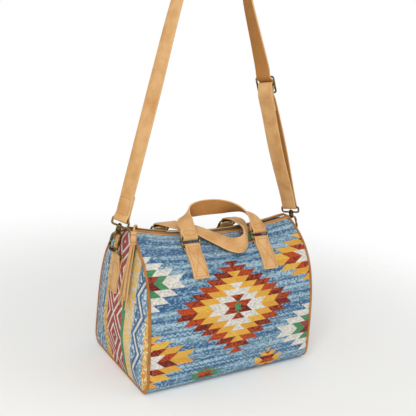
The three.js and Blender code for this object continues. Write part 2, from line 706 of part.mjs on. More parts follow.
// The back handle has flopped forward over the zip, through the front handle, and hangs on the front.
// Each station gives its place along the bag, in front of the zip and off the cloth, as shares of the
// spacing, the reach and the lift, and its outer face.
const BACK_ROUTE = [
  [-0.481, -0.12, 0.77, [-0.18, 0, 0.98]], [-0.394, 0.045, 0.69, [-0.1, -0.1, 1]],
  [-0.225, 0.2, 0.61, [0, -0.25, 0.95]], [-0.0875, 0.47, 0.53, [0, -0.4, 0.9]],
  [0.019, 0.7, 0.53, [0, -0.55, 0.8]], [0.125, 0.895, 0.58, [0.1, -0.7, 0.7]],
  [0.231, 1, 0.79, [0.35, -0.85, 0.45]], [0.325, 0.94, 0.95, [0.75, -0.6, 0.35]],
  [0.381, 0.71, 1, [0.9, -0.2, 0.45]], [0.425, 0.36, 0.9, [0.45, 0.05, 0.9]],
  [0.481, -0.12, 0.74, [0, 0.1, 1]],
];

function handleBack() {
  const left = ringTop(handleX(BACK_HANDLE_SHIFT, SIDES.left), FACES.back);
  const right = ringTop(handleX(BACK_HANDLE_SHIFT, SIDES.right), FACES.back);
  const forward = vec(0, -0.94, 0.34).normalize();
  const above = vec().crossVectors(forward, ALONG_X).normalize();
  const stations = BACK_ROUTE.map(([along, reach, lift, out]) => {
    const x = BACK_HANDLE_SHIFT + along * HANDLE_SPACING;
    const y = -reach * LOOP_REACH;
    return { at: vec(x, y, crest(x, y) + lift * LOOP_LIFT), out: vec(...out).normalize() };
  });
  const leave = (bar) => ({ at: walk(bar, [forward, HANDLE_TURN_IN / 2], [above, HANDLE_FOLD]), out: above });
  const leftEnd = [...handleEnd(left, forward, above), leave(left)];
  const rightEnd = [leave(right), ...handleEnd(right, forward, above).reverse()];
  return strip([...leftEnd, ...stations, ...rightEnd], HANDLE_WIDTH, HANDLE_LEATHER, 2);
}

// End tabs and D-rings

const END_TAB_TOP = HEIGHT - END_TAB_DOWN;
const END_TAB_FOLD = D_RING_WIRE + FIT + TAB_LEATHER / 2;

function dRingSeat(side) {
  const top = onEnd(side, END_TAB_TOP + END_TAB_FOLD);
  return walk(top.at, [top.out, FIT + TAB_LEATHER / 2 + END_TAB_FOLD]);
}

function endTab(side) {
  const top = onEnd(side, END_TAB_TOP);
  const under = FIT + TAB_LEATHER / 2;
  const over = under + TAB_LEATHER + FIT;
  const layer = (down, height, sign) => {
    const place = onEnd(side, END_TAB_TOP - down);
    return { at: walk(place.at, [place.out, height]), out: place.out.clone().multiplyScalar(sign) };
  };
  const downs = [END_TAB_LENGTH, END_TAB_LENGTH * 2 / 3, END_TAB_LENGTH / 4];
  const inner = downs.map((down) => layer(down, under, -1));
  const outer = downs.map((down) => layer(down, over, 1)).reverse();
  const turn = fold(dRingSeat(side), top.out.clone().negate(), top.up, END_TAB_FOLD);
  return strip([...inner, ...turn, ...outer], END_TAB_WIDTH, TAB_LEATHER);
}

const dRingUp = (side) => vec(side * Math.sin(radians(D_RING_LEAN)), 0, Math.cos(radians(D_RING_LEAN)));
const dRingCrown = (side) => walk(dRingSeat(side), [dRingUp(side), D_RING_HEIGHT]);

// A straight bar, two short sides and a half-round crown.
function dRing(side) {
  const bar = dRingSeat(side);
  const up = dRingUp(side);
  const half = D_RING_INNER / 2 + D_RING_WIRE;
  const corner = D_RING_CORNER;
  const crown = spread(0, Math.PI, 8).map((turn) => walk(
    bar,
    [ALONG_Y, half * Math.cos(turn)],
    [up, D_RING_HEIGHT - (D_RING_HEIGHT - 2 * corner) * (1 - Math.sin(turn))],
  ));
  const foot = [[-half, corner], [-half + corner / 3, corner / 3], [-half + corner, 0],
    [half - corner, 0], [half - corner / 3, corner / 3], [half, corner]];
  const lower = foot.map(([across, rise]) => walk(bar, [ALONG_Y, across], [up, rise]));
  return wire([...crown, ...lower], vec().crossVectors(ALONG_Y, up), D_RING_WIRE, SMOOTH.ring, true);
}

// Snap hooks: the wire's bow passes under the D-ring's crown, and a headed post turns in the eye

const HOOK_LEAN = { [SIDES.left]: HOOK_LEAN_LEFT, [SIDES.right]: HOOK_LEAN_RIGHT };
const SHOULDER_TOP = 2 * HOOK_HALF_WIDTH + HOOK_STRAIGHT;
const COLLAR_TOP = SHOULDER_TOP + COLLAR_HEIGHT;
const EYE_FOOT = COLLAR_TOP + FIT;
const EYE_LOW = EYE_FOOT + EYE_BOSS / 2;
const EYE_HIGH = EYE_LOW + EYE_PITCH;
const PIN_RISE = HOOK_HALF_WIDTH + HOOK_STRAIGHT - GATE_WIRE;
const NOSE_TOP = HOOK_HALF_WIDTH + NOSE_RISE;

// Directions and origin of a hook: its axis, and the side away from the bag.
function hookFrame(side) {
  const lean = radians(HOOK_LEAN[side]);
  const axis = vec(-side * Math.sin(lean), 0, Math.cos(lean));
  const away = vec(side * Math.cos(lean), 0, Math.sin(lean));
  const bow = walk(dRingCrown(side), [axis, -(D_RING_WIRE + HOOK_WIRE + LINK_EASE)]);
  return { axis, away, bow, at: (out, rise) => walk(bow, [away, out], [axis, rise]) };
}

function hookBody(side) {
  const { axis, bow, at } = hookFrame(side);
  const w = HOOK_HALF_WIDTH;
  const lowArc = spread(0, -Math.PI, 6).map((t) => at(w * Math.cos(t), w + w * Math.sin(t)));
  const highArc = spread(Math.PI, 0, 6).map((t) => at(w * Math.cos(t), w + HOOK_STRAIGHT + w * Math.sin(t)));
  const tip = at(w, PIN_RISE - FORK_REACH);
  const loop = wire([at(w, NOSE_TOP), ...lowArc, ...highArc, tip], ALONG_Y, HOOK_WIRE, SMOOTH.hook);
  const head = EYE_FOOT + EYE_BOSS + FIT;
  const neck = COLLAR_RADIUS - COLLAR_CHAMFER;
  const post = turned([
    [0, SHOULDER_TOP - COLLAR_CHAMFER], [neck, SHOULDER_TOP - COLLAR_CHAMFER],
    [COLLAR_RADIUS, SHOULDER_TOP + 2 * COLLAR_CHAMFER], [COLLAR_RADIUS, COLLAR_TOP - COLLAR_CHAMFER],
    [neck, COLLAR_TOP], [POST_RADIUS, COLLAR_TOP], [POST_RADIUS, head], [POST_HEAD, head],
    [POST_HEAD - COLLAR_CHAMFER, head + POST_HEAD_HEIGHT], [0, head + POST_HEAD_HEIGHT],
  ], bow, axis, SMOOTH.hook);
  const slot = block(4 * HOOK_WIRE, GATE_LUG + 2 * FIT, 4 * HOOK_WIRE, vec(0, 0, 0));
  slot.applyQuaternion(new THREE.Quaternion().setFromUnitVectors(UP, axis));
  const slotAt = at(w, PIN_RISE + FORK_ROOT - 2 * HOOK_WIRE);
  slot.translate(slotAt.x, slotAt.y, slotAt.z);
  const bore = rod(at(w, PIN_RISE), ALONG_Y, GATE_PIN + FIT, -3 * HOOK_WIRE, 3 * HOOK_WIRE, SMOOTH.hook);
  return cut(join(loop, post), slot, bore);
}

// The sprung gate closes the hook between its nose and the forked end of its wire.
function hookGate(side) {
  const { axis, away, at } = hookFrame(side);
  const w = HOOK_HALF_WIDTH;
  const top = PIN_RISE - FORK_REACH - 3 * FIT;
  const bar = rod(at(w, 0), axis, GATE_WIRE, NOSE_TOP + FIT, top, SMOOTH.hook);
  const eye = rod(at(w, PIN_RISE), ALONG_Y, GATE_WIRE, -GATE_LUG / 2, GATE_LUG / 2, SMOOTH.hook);
  const lugHeight = PIN_RISE - top + GATE_WIRE;
  const lug = block(GATE_LUG_WIDTH, GATE_LUG, lugHeight, vec(0, 0, 0));
  const turn = new THREE.Matrix4().makeBasis(away, vec().crossVectors(axis, away), axis);
  lug.applyMatrix4(turn);
  const lugAt = at(w, PIN_RISE - lugHeight / 2);
  lug.translate(lugAt.x, lugAt.y, lugAt.z);
  const bore = rod(at(w, PIN_RISE), ALONG_Y, GATE_PIN + FIT, -GATE_LUG, GATE_LUG, SMOOTH.hook);
  return cut(join(bar, eye, lug), bore);
}

function gatePin(side) {
  const reach = HOOK_WIRE - FIT;
  return rod(hookFrame(side).at(HOOK_HALF_WIDTH, PIN_RISE), ALONG_Y, GATE_PIN, -reach, reach, SMOOTH.hook);
}

// Shoulder strap

// Directions of the strap where it folds round an eye.
function eyeFrame(side) {
  const { axis, at } = hookFrame(side);
  const outward = vec(side * axis.z, 0, -side * axis.x);
  const twist = radians(side === SIDES.left ? LEFT_TWIST : RIGHT_TWIST);
  const out = walk(vec(0, 0, 0), [outward, Math.cos(twist)], [ALONG_Y, -Math.sin(twist)]);
  return { axis, out, across: vec().crossVectors(axis, out), bar: at(0, EYE_HIGH), low: at(0, EYE_LOW) };
}

function swivelEye(side) {
  const { bow, axis } = hookFrame(side);
  const { across, out, bar, low } = eyeFrame(side);
  const frame = roundedFrame(
    bar.clone().lerp(low, 0.5), across, axis, EYE_INNER / 2 + EYE_WIRE, EYE_PITCH / 2, 2 * EYE_WIRE,
  );
  const loop = wire(frame, out, EYE_WIRE, SMOOTH.ring, true);
  const boss = rod(bow, axis, COLLAR_RADIUS, EYE_FOOT, EYE_FOOT + EYE_BOSS, SMOOTH.hook);
  const bore = rod(bow, axis, POST_RADIUS + FIT, EYE_FOOT - 1, EYE_FOOT + EYE_BOSS + 1, SMOOTH.hook);
  return cut(join(loop, boss), bore);
}

const STRAP_FOLD = EYE_WIRE + FIT + STRAP_LEATHER / 2;
const inPlane = (point) => vec(point.x, 0, HEIGHT + point.y);

// Outer face of a leg that runs along a direction, turned by a twist towards the front.
function legFace(along, side, twist) {
  const outward = vec().crossVectors(along, ALONG_Y).normalize();
  if (outward.x * side < 0) outward.negate();
  return walk(vec(0, 0, 0), [outward, Math.cos(radians(twist))], [ALONG_Y, -Math.sin(radians(twist))]);
}

// Directions at the slide buckle: down the doubled leg, and out of its outer face.
function slideFrame() {
  const bar = inPlane(SLIDE_AT);
  const down = vec().subVectors(eyeFrame(SIDES.right).bar, bar).normalize();
  const out = legFace(down, SIDES.right, RIGHT_TWIST);
  return { bar, down, out, across: vec().crossVectors(down, out) };
}

// The strap's route: sewn end, left eye, left leg, arch, right leg, slide, right eye, slide again.
function shoulderStrap() {
  const left = eyeFrame(SIDES.left);
  const right = eyeFrame(SIDES.right);
  const slide = slideFrame();
  const leftTop = inPlane(STRAP_LEFT_TOP);
  const rightTop = inPlane(STRAP_RIGHT_TOP);
  const leftRun = vec().subVectors(leftTop, left.bar).normalize();
  const leftFace = legFace(leftRun, SIDES.left, LEFT_TWIST);
  const lap = STRAP_LEATHER + FIT;
  const sewn = [STRAP_TURN_IN, STRAP_TURN_IN / 2, STRAP_TURN_IN / 4].map((rise) => ({
    at: walk(left.bar, [leftRun, rise], [leftFace, -lap]), out: leftFace.clone().negate(),
  }));
  const leftFold = fold(left.bar, left.out.clone().negate(), left.axis.clone().negate(), STRAP_FOLD);
  const leg = [STRAP_TURN_IN / 4, STRAP_TURN_IN / 2, STRAP_TURN_IN, 2 * STRAP_TURN_IN].map((rise) => ({
    at: walk(left.bar, [leftRun, rise]), out: leftFace,
  }));
  const rightRun = vec().subVectors(slide.bar, rightTop).normalize();
  const crown = inPlane(STRAP_CROWN);
  const leftSpring = vec(-ARCH_SPRING, 0, ARCH_SPRING);
  const rightSpring = vec(ARCH_SPRING, 0, ARCH_SPRING);
  const arch = [
    { at: left.bar.clone().lerp(leftTop, 0.6), out: leftFace },
    { at: leftTop, out: legFace(leftRun, SIDES.left, LEFT_TWIST / 2) },
    { at: crown.clone().lerp(leftTop, 0.5).add(leftSpring), out: vec(-0.75, -0.1, 0.65) },
    { at: crown, out: UP },
    { at: crown.clone().lerp(rightTop, 0.5).add(rightSpring), out: vec(0.75, 0, 0.65) },
    { at: rightTop, out: legFace(rightRun, SIDES.right, 0) },
    { at: rightTop.clone().lerp(slide.bar, 0.5), out: legFace(rightRun, SIDES.right, RIGHT_TWIST / 2) },
  ];
  const { bar, down, out } = slide;
  const inward = out.clone().negate();
  const station = (distance, offset, facing) => ({
    at: walk(bar, [down, distance], [out, offset]), out: facing,
  });
  const reach = right.bar.distanceTo(bar);
  const nearEye = reach - 2 * EYE_PITCH;
  const under = -(SLIDE_WIRE + STRAP_LEATHER / 2 + SLIDE_EASE);
  const layer = STRAP_LEATHER + 4 * FIT;
  const weave = [
    [-2 * SLIDE_PITCH, under / 2], [-SLIDE_PITCH, under], [0, layer - under + SLIDE_EASE / 2],
    [SLIDE_PITCH, under], [2 * SLIDE_PITCH, 0], [reach / 2, DOUBLE_GAP / 2], [nearEye, STRAP_FOLD],
  ].map(([distance, offset]) => station(distance, offset, out));
  const rightFold = fold(right.bar, right.out, right.axis.clone().negate(), STRAP_FOLD);
  const lowest = SLIDE_PITCH + SLIDE_TURN_IN;
  const rise = [
    [nearEye, -STRAP_FOLD], [reach / 2, -DOUBLE_GAP], [lowest, under - 2 * layer],
    [SLIDE_PITCH, under - 2 * layer],
  ].map(([distance, offset]) => station(distance, offset, inward));
  const wrap = fold(bar, inward, down.clone().negate(), -under);
  const tail = [SLIDE_PITCH, (SLIDE_PITCH + lowest) / 2, lowest].map((distance) => (
    station(distance, under - layer, out)));
  const route = [
    ...sewn, ...leftFold, ...leg, ...arch, ...weave, ...rightFold, ...rise, ...wrap, ...tail,
  ];
  return strip(route, STRAP_WIDTH, STRAP_LEATHER, 2);
}

// A frame with a middle bar that the strap weaves through.
function strapSlide() {
  const { bar, down, out, across } = slideFrame();
  const half = SLIDE_INNER / 2 + SLIDE_WIRE;
  const frame = roundedFrame(bar, across, down, half, SLIDE_PITCH, 2 * SLIDE_WIRE);
  const middle = rod(bar, across, SLIDE_WIRE, -half, half, SMOOTH.ring);
  return join(wire(frame, out, SLIDE_WIRE, SMOOTH.ring, true), middle);
}

// The whole bag

const finish = (color, roughness, metalness = 0) => () => (
  new THREE.MeshStandardMaterial({ color, roughness, metalness }));
const kilim = finish(0x6f97bd, 0.9);
const kilimEnd = finish(0xb05a4e, 0.9);
const tanLeather = finish(0xd9a566, 0.6);
const pipingLeather = finish(0xc9853f, 0.55);
const agedBrass = finish(0x6b5a35, 0.4, 1);
const zipCloth = finish(0x2b2118, 0.85);
const liningCloth = finish(0x8a7a62, 0.9);
const stiffBoard = finish(0x5a4a3a, 0.9);

const bag = new THREE.Group();

function add(name, geometry, material) {
  const mesh = new THREE.Mesh(geometry, material());
  mesh.name = name;
  bag.add(mesh);
}

add('main_panel', mainPanel(), kilim);
add('lining', lining(), liningCloth);
add('base_board', baseBoard(), stiffBoard);
Object.entries(SIDES).forEach(([name, side]) => {
  add(`end_panel_${name}`, endPanel(side), kilimEnd);
  add(`piping_${name}`, piping(side), pipingLeather);
  add(`end_tab_${name}`, endTab(side), tanLeather);
  add(`d_ring_${name}`, dRing(side), agedBrass);
  add(`hook_body_${name}`, hookBody(side), agedBrass);
  add(`hook_gate_${name}`, hookGate(side), agedBrass);
  add(`gate_pin_${name}`, gatePin(side), agedBrass);
  add(`swivel_eye_${name}`, swivelEye(side), agedBrass);
});
const handleShift = { front: FRONT_HANDLE_SHIFT, back: BACK_HANDLE_SHIFT };
Object.entries(FACES).forEach(([faceName, face]) => {
  add(`zip_tape_${faceName}`, zipTape(face), zipCloth);
  add(`zip_binding_${faceName}`, zipBinding(face), pipingLeather);
  Object.entries(SIDES).forEach(([sideName, side]) => {
    const x = handleX(handleShift[faceName], side);
    add(`tab_${faceName}_${sideName}`, handleTab(x, face), tanLeather);
    add(`ring_${faceName}_${sideName}`, handleRing(x, face), agedBrass);
  });
});
add('handle_front', handleFront(), tanLeather);
add('handle_back', handleBack(), tanLeather);
add('shoulder_strap', shoulderStrap(), tanLeather);
add('strap_slide', strapSlide(), agedBrass);
add('zip_slider', zipSlider(), agedBrass);
add('zip_pull', zipPull(), agedBrass);
add('tassel_lace', tasselLace(), tanLeather);
add('tassel_band', tasselBand(), tanLeather);
add('tassel_fringe', tasselFringe(), tanLeather);

export default bag;
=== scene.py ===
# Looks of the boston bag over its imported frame: kilim cloth, tan leather and aged brass, in metres.
import bisect
import functools
import math
import random
from collections import namedtuple

import bmesh
import bpy
from mathutils import Matrix, Vector


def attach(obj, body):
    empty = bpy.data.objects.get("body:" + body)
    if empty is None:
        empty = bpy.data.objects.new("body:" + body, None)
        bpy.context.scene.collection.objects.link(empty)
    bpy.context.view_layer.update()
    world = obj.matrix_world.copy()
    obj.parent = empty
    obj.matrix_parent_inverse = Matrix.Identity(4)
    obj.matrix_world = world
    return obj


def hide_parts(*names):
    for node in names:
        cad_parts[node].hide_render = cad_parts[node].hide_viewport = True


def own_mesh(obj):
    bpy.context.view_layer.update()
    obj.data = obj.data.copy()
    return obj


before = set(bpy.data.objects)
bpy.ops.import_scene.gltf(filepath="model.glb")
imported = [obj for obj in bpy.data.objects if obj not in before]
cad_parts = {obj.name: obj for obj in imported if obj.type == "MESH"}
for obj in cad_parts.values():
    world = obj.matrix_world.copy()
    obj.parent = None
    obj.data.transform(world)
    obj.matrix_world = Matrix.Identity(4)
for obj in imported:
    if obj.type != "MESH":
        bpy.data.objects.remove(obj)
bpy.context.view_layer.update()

bl_info = {
    "name": "Boston Bag",
    "version": (1, 0, 0),
    "blender": (4, 5, 0),
    "location": "View3D > Sidebar > Bag",
    "description": "Dresses the packed frame of a kilim and leather boston bag",
    "category": "Object",
}

UP = Vector((0, 0, 1))
ALONG_X = Vector((1, 0, 0))
ALONG_Y = Vector((0, 1, 0))
SIDES = {"left": -1, "right": 1}
FACES = {"front": -1, "back": 1}
FIT = 0.0003  # clearance between pieces that touch

# Body shape that the user's sizes don't cover
SIDE_TAPER = 0.006
SIDE_RISE = 0.178
SHOULDER_TAPER = 0.018
SHOULDER_DROP = 0.045
SAG_START = 0.100
BELLY_TOP = 0.220
END_CENTRE = 0.125
CLOTH_SHARE = 0.8  # of the wall, left to the kilim over its backing
PIPING_PROUD = 0.0012
PIPING_RISE = 0.040

# Soft hollows of the stuffed cloth: where each one fades in, and its depth or pitch
SEAM_FADE = (0.004, 0.045)
EDGE_FADE = (0.014, 0.050)
BASE_FADE = (-0.020, 0.050)
TAB_FADE = 0.028
TAB_MARGIN = 0.004
DRAG_FADE = (0.030, 0.090)
DRAG_SLANT = 0.4
DRAG_PITCH = 0.085
PUCKER_FADE = (0.003, 0.024)
PUCKER_DEPTH = 0.0006
PUCKER_PITCH = 0.013
TUCK_FADE = 0.006
TUCK_DEPTH = 0.001
END_TAB_FADE = (0.020, 0.050)

# Zip
BINDING_LEATHER = 0.0018
BINDING_OVERHANG = 0.002
TAPE_WIDTH = 0.013
TAPE_THICKNESS = 0.0012
TAPE_CLOTH = 0.7  # share of the tape's thickness that is cloth, under the teeth
CHAIN_GAP = 0.0018
TAPE_EASE = 0.001
ZIP_MARGIN = 0.005
TOOTH_PITCH = 0.004
TOOTH_LENGTH = 0.0032
TOOTH_WIDTH = 0.0018
SLIDER_LENGTH = 0.015
SLIDER_PLATE = 0.0016
SLIDER_END_GAP = 0.020
BRIDGE_LENGTH = 0.010
PULL_LENGTH = 0.020
PULL_WIDTH = 0.008
PULL_WIRE = 0.0012
PULL_LIFT = math.radians(25)
ZIP_STATIONS = 28

# Handles and tabs
HANDLE_SPACING = 0.160
HANDLE_SHIFT = {"front": 0.004, "back": -0.014}
HANDLE_TURN_IN = 0.017
HANDLE_LEAN = math.radians(35)
ARCH_RISE = 0.057
LOOP_REACH = 0.066
LOOP_LIFT = 0.021
LOOP_START = Vector((0, -0.94, 0.34)).normalized()
TAB_DOWN = 0.040
TAB_LIFT = 0.0009
RING_INNER = 0.035
RING_PITCH = 0.016
RING_CORNER = 0.004
RING_EASE = 0.0005

# Rows of stitches: distance from the leather's edges, from its end and from the fold above
BINDING_INSET = 0.0025
TAB_INSET = 0.0035
END_TAB_INSET = 0.003
STRAP_INSET = 0.004
ROW_END = 0.004
TAIL_ROW_END = 0.005
HANDLE_INSET = 0.004
HANDLE_ROW_END = 0.003
TAB_ROW_HEAD = 0.014
STRAP_ROW_HEAD = 0.010

# End tabs, D-rings and hooks
END_TAB_DOWN = 0.054
D_RING_INNER = 0.027
D_RING_HEIGHT = 0.020
D_RING_CORNER = 1.5  # in radii of its wire
D_RING_LEAN = math.radians(33)
HOOK_WIRE = 0.0025
HOOK_HALF_WIDTH = 0.009
HOOK_STRAIGHT = 0.016
HOOK_LEAN = {-1: math.radians(14), 1: math.radians(21)}
LINK_EASE = 0.0007
COLLAR_RADIUS = 0.005
COLLAR_HEIGHT = 0.009
POST_RADIUS = 0.002
EYE_BOSS = 0.0056
EYE_SOFT = 0.0006  # rounding of the boss's rims
EYE_PITCH = 0.013
EYE_INNER = 0.033

# Strap
STRAP_TURN_IN = 0.046
STRAP_LEFT_TOP = Vector((-0.118, 0, 0.687))
STRAP_CROWN = Vector((-0.046, 0, 0.782))
STRAP_RIGHT_TOP = Vector((0.030, 0, 0.700))
SLIDE_AT = Vector((0.093, 0, 0.551))
ARCH_SPRING = 0.018
TWIST = {-1: math.radians(27), 1: math.radians(-30)}
DOUBLE_GAP = 0.014
SLIDE_EASE = 0.0009
SLIDE_PITCH = 0.016
SLIDE_INNER = 0.033
SLIDE_TURN_IN = 0.034

# Tassel
TASSEL_OUT = 0.0095
TASSEL_FORWARD = 0.044
TASSEL_RISE = 0.009
TASSEL_HEAD = 0.024
TASSEL_RADIUS = 0.0055
TASSEL_LEATHER = 0.0014
BAND_ROW = 0.005  # thread row's distance from the band's end
BAND_GROOVE = 0.001
BAND_NIP = 0.0005
BAND_THREAD = 0.0004
FRINGE_STRIPS = 9
FRINGE_LENGTH = 0.118
FRINGE_WIDTH = 0.0036
FRINGE_STEP = 0.07  # share by which neighbouring strips differ in length
FRINGE_LAYER = 0.0034
FRINGE_SPREAD = 0.014
FRINGE_OUT = 0.014
FRINGE_FAN = 0.3
FRINGE_SWAY = 0.0015
FRINGE_WAVE = 5.0
FRINGE_TWIST = 0.4
FRINGE_SUEDE = 0.8  # thinned share of the tassel's leather
FRINGE_CLEAR = 0.001
FRINGE_SEED = 4
CORE_DROP = 0.003
CORE_BORE = 0.0002
TASSEL_TIP = 0.38  # share by which a tilted up direction leans aside from the tassel's line; the tassel step works it out, but nothing uses it
LACE_RADIUS = 0.0016
LACE_RISE = 0.006

# Mesh density
PER_SPAN = 6
HANDLE_PER_SPAN = 8
HANDLE_EASE = 24
LACE_PER_SPAN = 8
TAPE_PER_SPAN = 2
BINDING_PER_SPAN = 3
ROUND_STEPS = 20
WIRE_SIDES = 12
TURNED_SIDES = 24
THREAD_SIDES = 6
WALL_SAMPLES = 400
PANEL_STEPS = (10, 8, 60)  # base, corner and wall of a half section
PANEL_COLUMNS = 110
END_STEPS = (8, 6, 44)
DOME_MIDDLE = 0.03  # share of the rim where the dome's rings start
DOME_FIRST = 0.08
DOME_RINGS = 18
SLOPE_STEP = 0.001
HALVINGS = 30
SHARP_ANGLE = math.radians(50)

# Stage
Lamp = namedtuple("Lamp", "name place size power")
LAMPS = (
    Lamp("key", (-1.5, -1.6, 2.0), 1.6, 42.0),
    Lamp("fill", (1.9, -1.4, 1.2), 2.0, 9.0),
)
LAMP_AIM = Vector((0, 0, 0.25))
SKY_LIGHT = 0.62
FLOOR_HALF = 6.0
FLOOR_DROP = 0.0005
FLOOR_FADE = (0.35, 1.1)
VIEW_YAW = math.radians(33.4)
VIEW_RISE = math.radians(15.0)
VIEW_ROLL = math.radians(5.38)
VIEW_AIM = Vector((-0.015, 0, 0.309))
VIEW_DISTANCE = 1.237
VIEW_LENS = 54.69
VIEW_SENSOR = 36.0

WHITE = (1, 1, 1, 1)

# Materials of a strip of leather, in the order of its faces
GRAIN, FLESH, EDGE = range(3)


def linear(code):
    """Linear RGBA of an sRGB hex code."""
    shares = [int(code[i:i + 2], 16) / 255 for i in (1, 3, 5)]
    return [s / 12.92 if s <= 0.04045 else ((s + 0.055) / 1.055) ** 2.4 for s in shares] + [1.0]


def length(name, default, description):
    """A size in metres that the user can change."""
    return bpy.props.FloatProperty(
        name=name, description=description, default=default, min=0.0, precision=4, unit="LENGTH")


def tint(name, code, description):
    """A colour that the user can change, from an sRGB hex code."""
    return bpy.props.FloatVectorProperty(
        name=name, description=description, default=linear(code), size=4, min=0.0, max=1.0, subtype="COLOR")


class BagSizes(bpy.types.PropertyGroup):
    """Sizes of the stuffed body."""

    length: length("Length", 0.370, "Between the two piped end seams")
    depth: length("Depth", 0.240, "Front to back at the base")
    height: length("Height", 0.281, "Base to zip at the ends")
    corner: length("Corner radius", 0.022, "Radius of the lower edges")
    wall: length("Cloth", 0.003, "Kilim with its backing")
    zip_gap: length("Zip gap", 0.018, "Opening between the panel edges")
    top_sag: length("Top sag", 0.022, "Drop of the zip line at mid length")
    belly: length("Belly", 0.006, "Fullness of front and back")
    end_bulge: length("End bulge", 0.020, "Fullness of each end panel")
    slack: length("Slack", 0.0034, "Deepest soft hollow pressed into the cloth")


class TrimSizes(bpy.types.PropertyGroup):
    """Sizes of the leather and brass trim."""

    piping: length("Piping radius", 0.0025, "Bead in the end seams")
    binding_width: length("Binding width", 0.008, "Leather over the panel edges")
    handle_width: length("Handle width", 0.031, "Width of the two handles")
    handle_leather: length("Handle leather", 0.0032, "Thickness of the handles")
    tab_width: length("Tab width", 0.032, "Width of the handle tabs")
    tab_leather: length("Tab leather", 0.0022, "Thickness of one layer of a tab")
    tab_length: length("Tab length", 0.074, "Length of the handle tabs")
    end_tab_width: length("End tab width", 0.025, "Width of the tabs on the ends")
    end_tab_length: length("End tab length", 0.066, "Length of the tabs on the ends")
    strap_width: length("Strap width", 0.030, "Width of the shoulder strap")
    strap_leather: length("Strap leather", 0.003, "Thickness of the shoulder strap")
    ring_wire: length("Ring wire", 0.002, "Radius of the rings' wire")
    slide_wire: length("Slide wire", 0.0018, "Radius of the strap slide's wire")
    stitch: length("Stitch", 0.0034, "Length of one stitch")
    thread: length("Thread", 0.00055, "Radius of the sewing thread")


class BagColours(bpy.types.PropertyGroup):
    """Colours of wool, leather and metal."""

    pale_blue: tint("Pale blue", "#A9C6D3", "Lightest wool of the ground")
    mid_blue: tint("Mid blue", "#6B93B3", "Main wool of the ground")
    deep_blue: tint("Deep blue", "#3F6A93", "Darkest wool of the ground")
    grey_blue: tint("Grey blue", "#8FA9AE", "Undyed flecks of the ground")
    ivory: tint("Ivory", "#E6E1D6", "Undyed wool")
    yellow: tint("Yellow", "#EFC04F", "Motif wool")
    amber: tint("Amber", "#E6A23C", "Motif wool")
    rust: tint("Rust", "#C9501F", "Motif wool")
    maroon: tint("Maroon", "#6A1C17", "Motif wool")
    green: tint("Green", "#4F9160", "Motif wool")
    brick: tint("Brick red", "#AE463D", "End panels' middle band")
    leather: tint("Tan leather", "#D6A871", "Grain side of the straps")
    leather_dark: tint("Tan leather, handled", "#C49157", "Darker clouds in the grain side")
    flesh: tint("Flesh side", "#A8743A", "Inner face of the straps")
    cut_edge: tint("Cut edge", "#D9AF78", "Raw edge of the straps")
    piping: tint("Piping leather", "#B2783C", "Beads and zip bindings")
    piping_dark: tint("Piping leather, handled", "#99622C", "Darker clouds in the beads and bindings")
    brass: tint("Brass", "#8E7B4A", "Worn high spots of the fittings")
    patina: tint("Patina", "#3F3320", "Dark tone of the fittings")
    thread: tint("Thread", "#A9773F", "Waxed sewing thread")
    tape: tint("Zip tape", "#2B2118", "Cloth of the zip")
    lining: tint("Lining", "#8A7A62", "Cotton inside the bag")
    board: tint("Board", "#5A4A3A", "Stiff insert in the base")
    floor: tint("Floor", "#F2F2F0", "Ground of the picture")


def smoothstep(value, low, high):
    """0 below low, 1 above high, and a smooth rise between."""
    share = min(max((value - low) / (high - low), 0.0), 1.0)
    return share * share * (3 - 2 * share)


def spread(low, high, steps):
    """Equal steps between two values, both ends included."""
    return [low + (high - low) * i / steps for i in range(steps + 1)]


# The soft body, as the solids have it

Station = namedtuple("Station", "at out run")
Place = namedtuple("Place", "at up out")


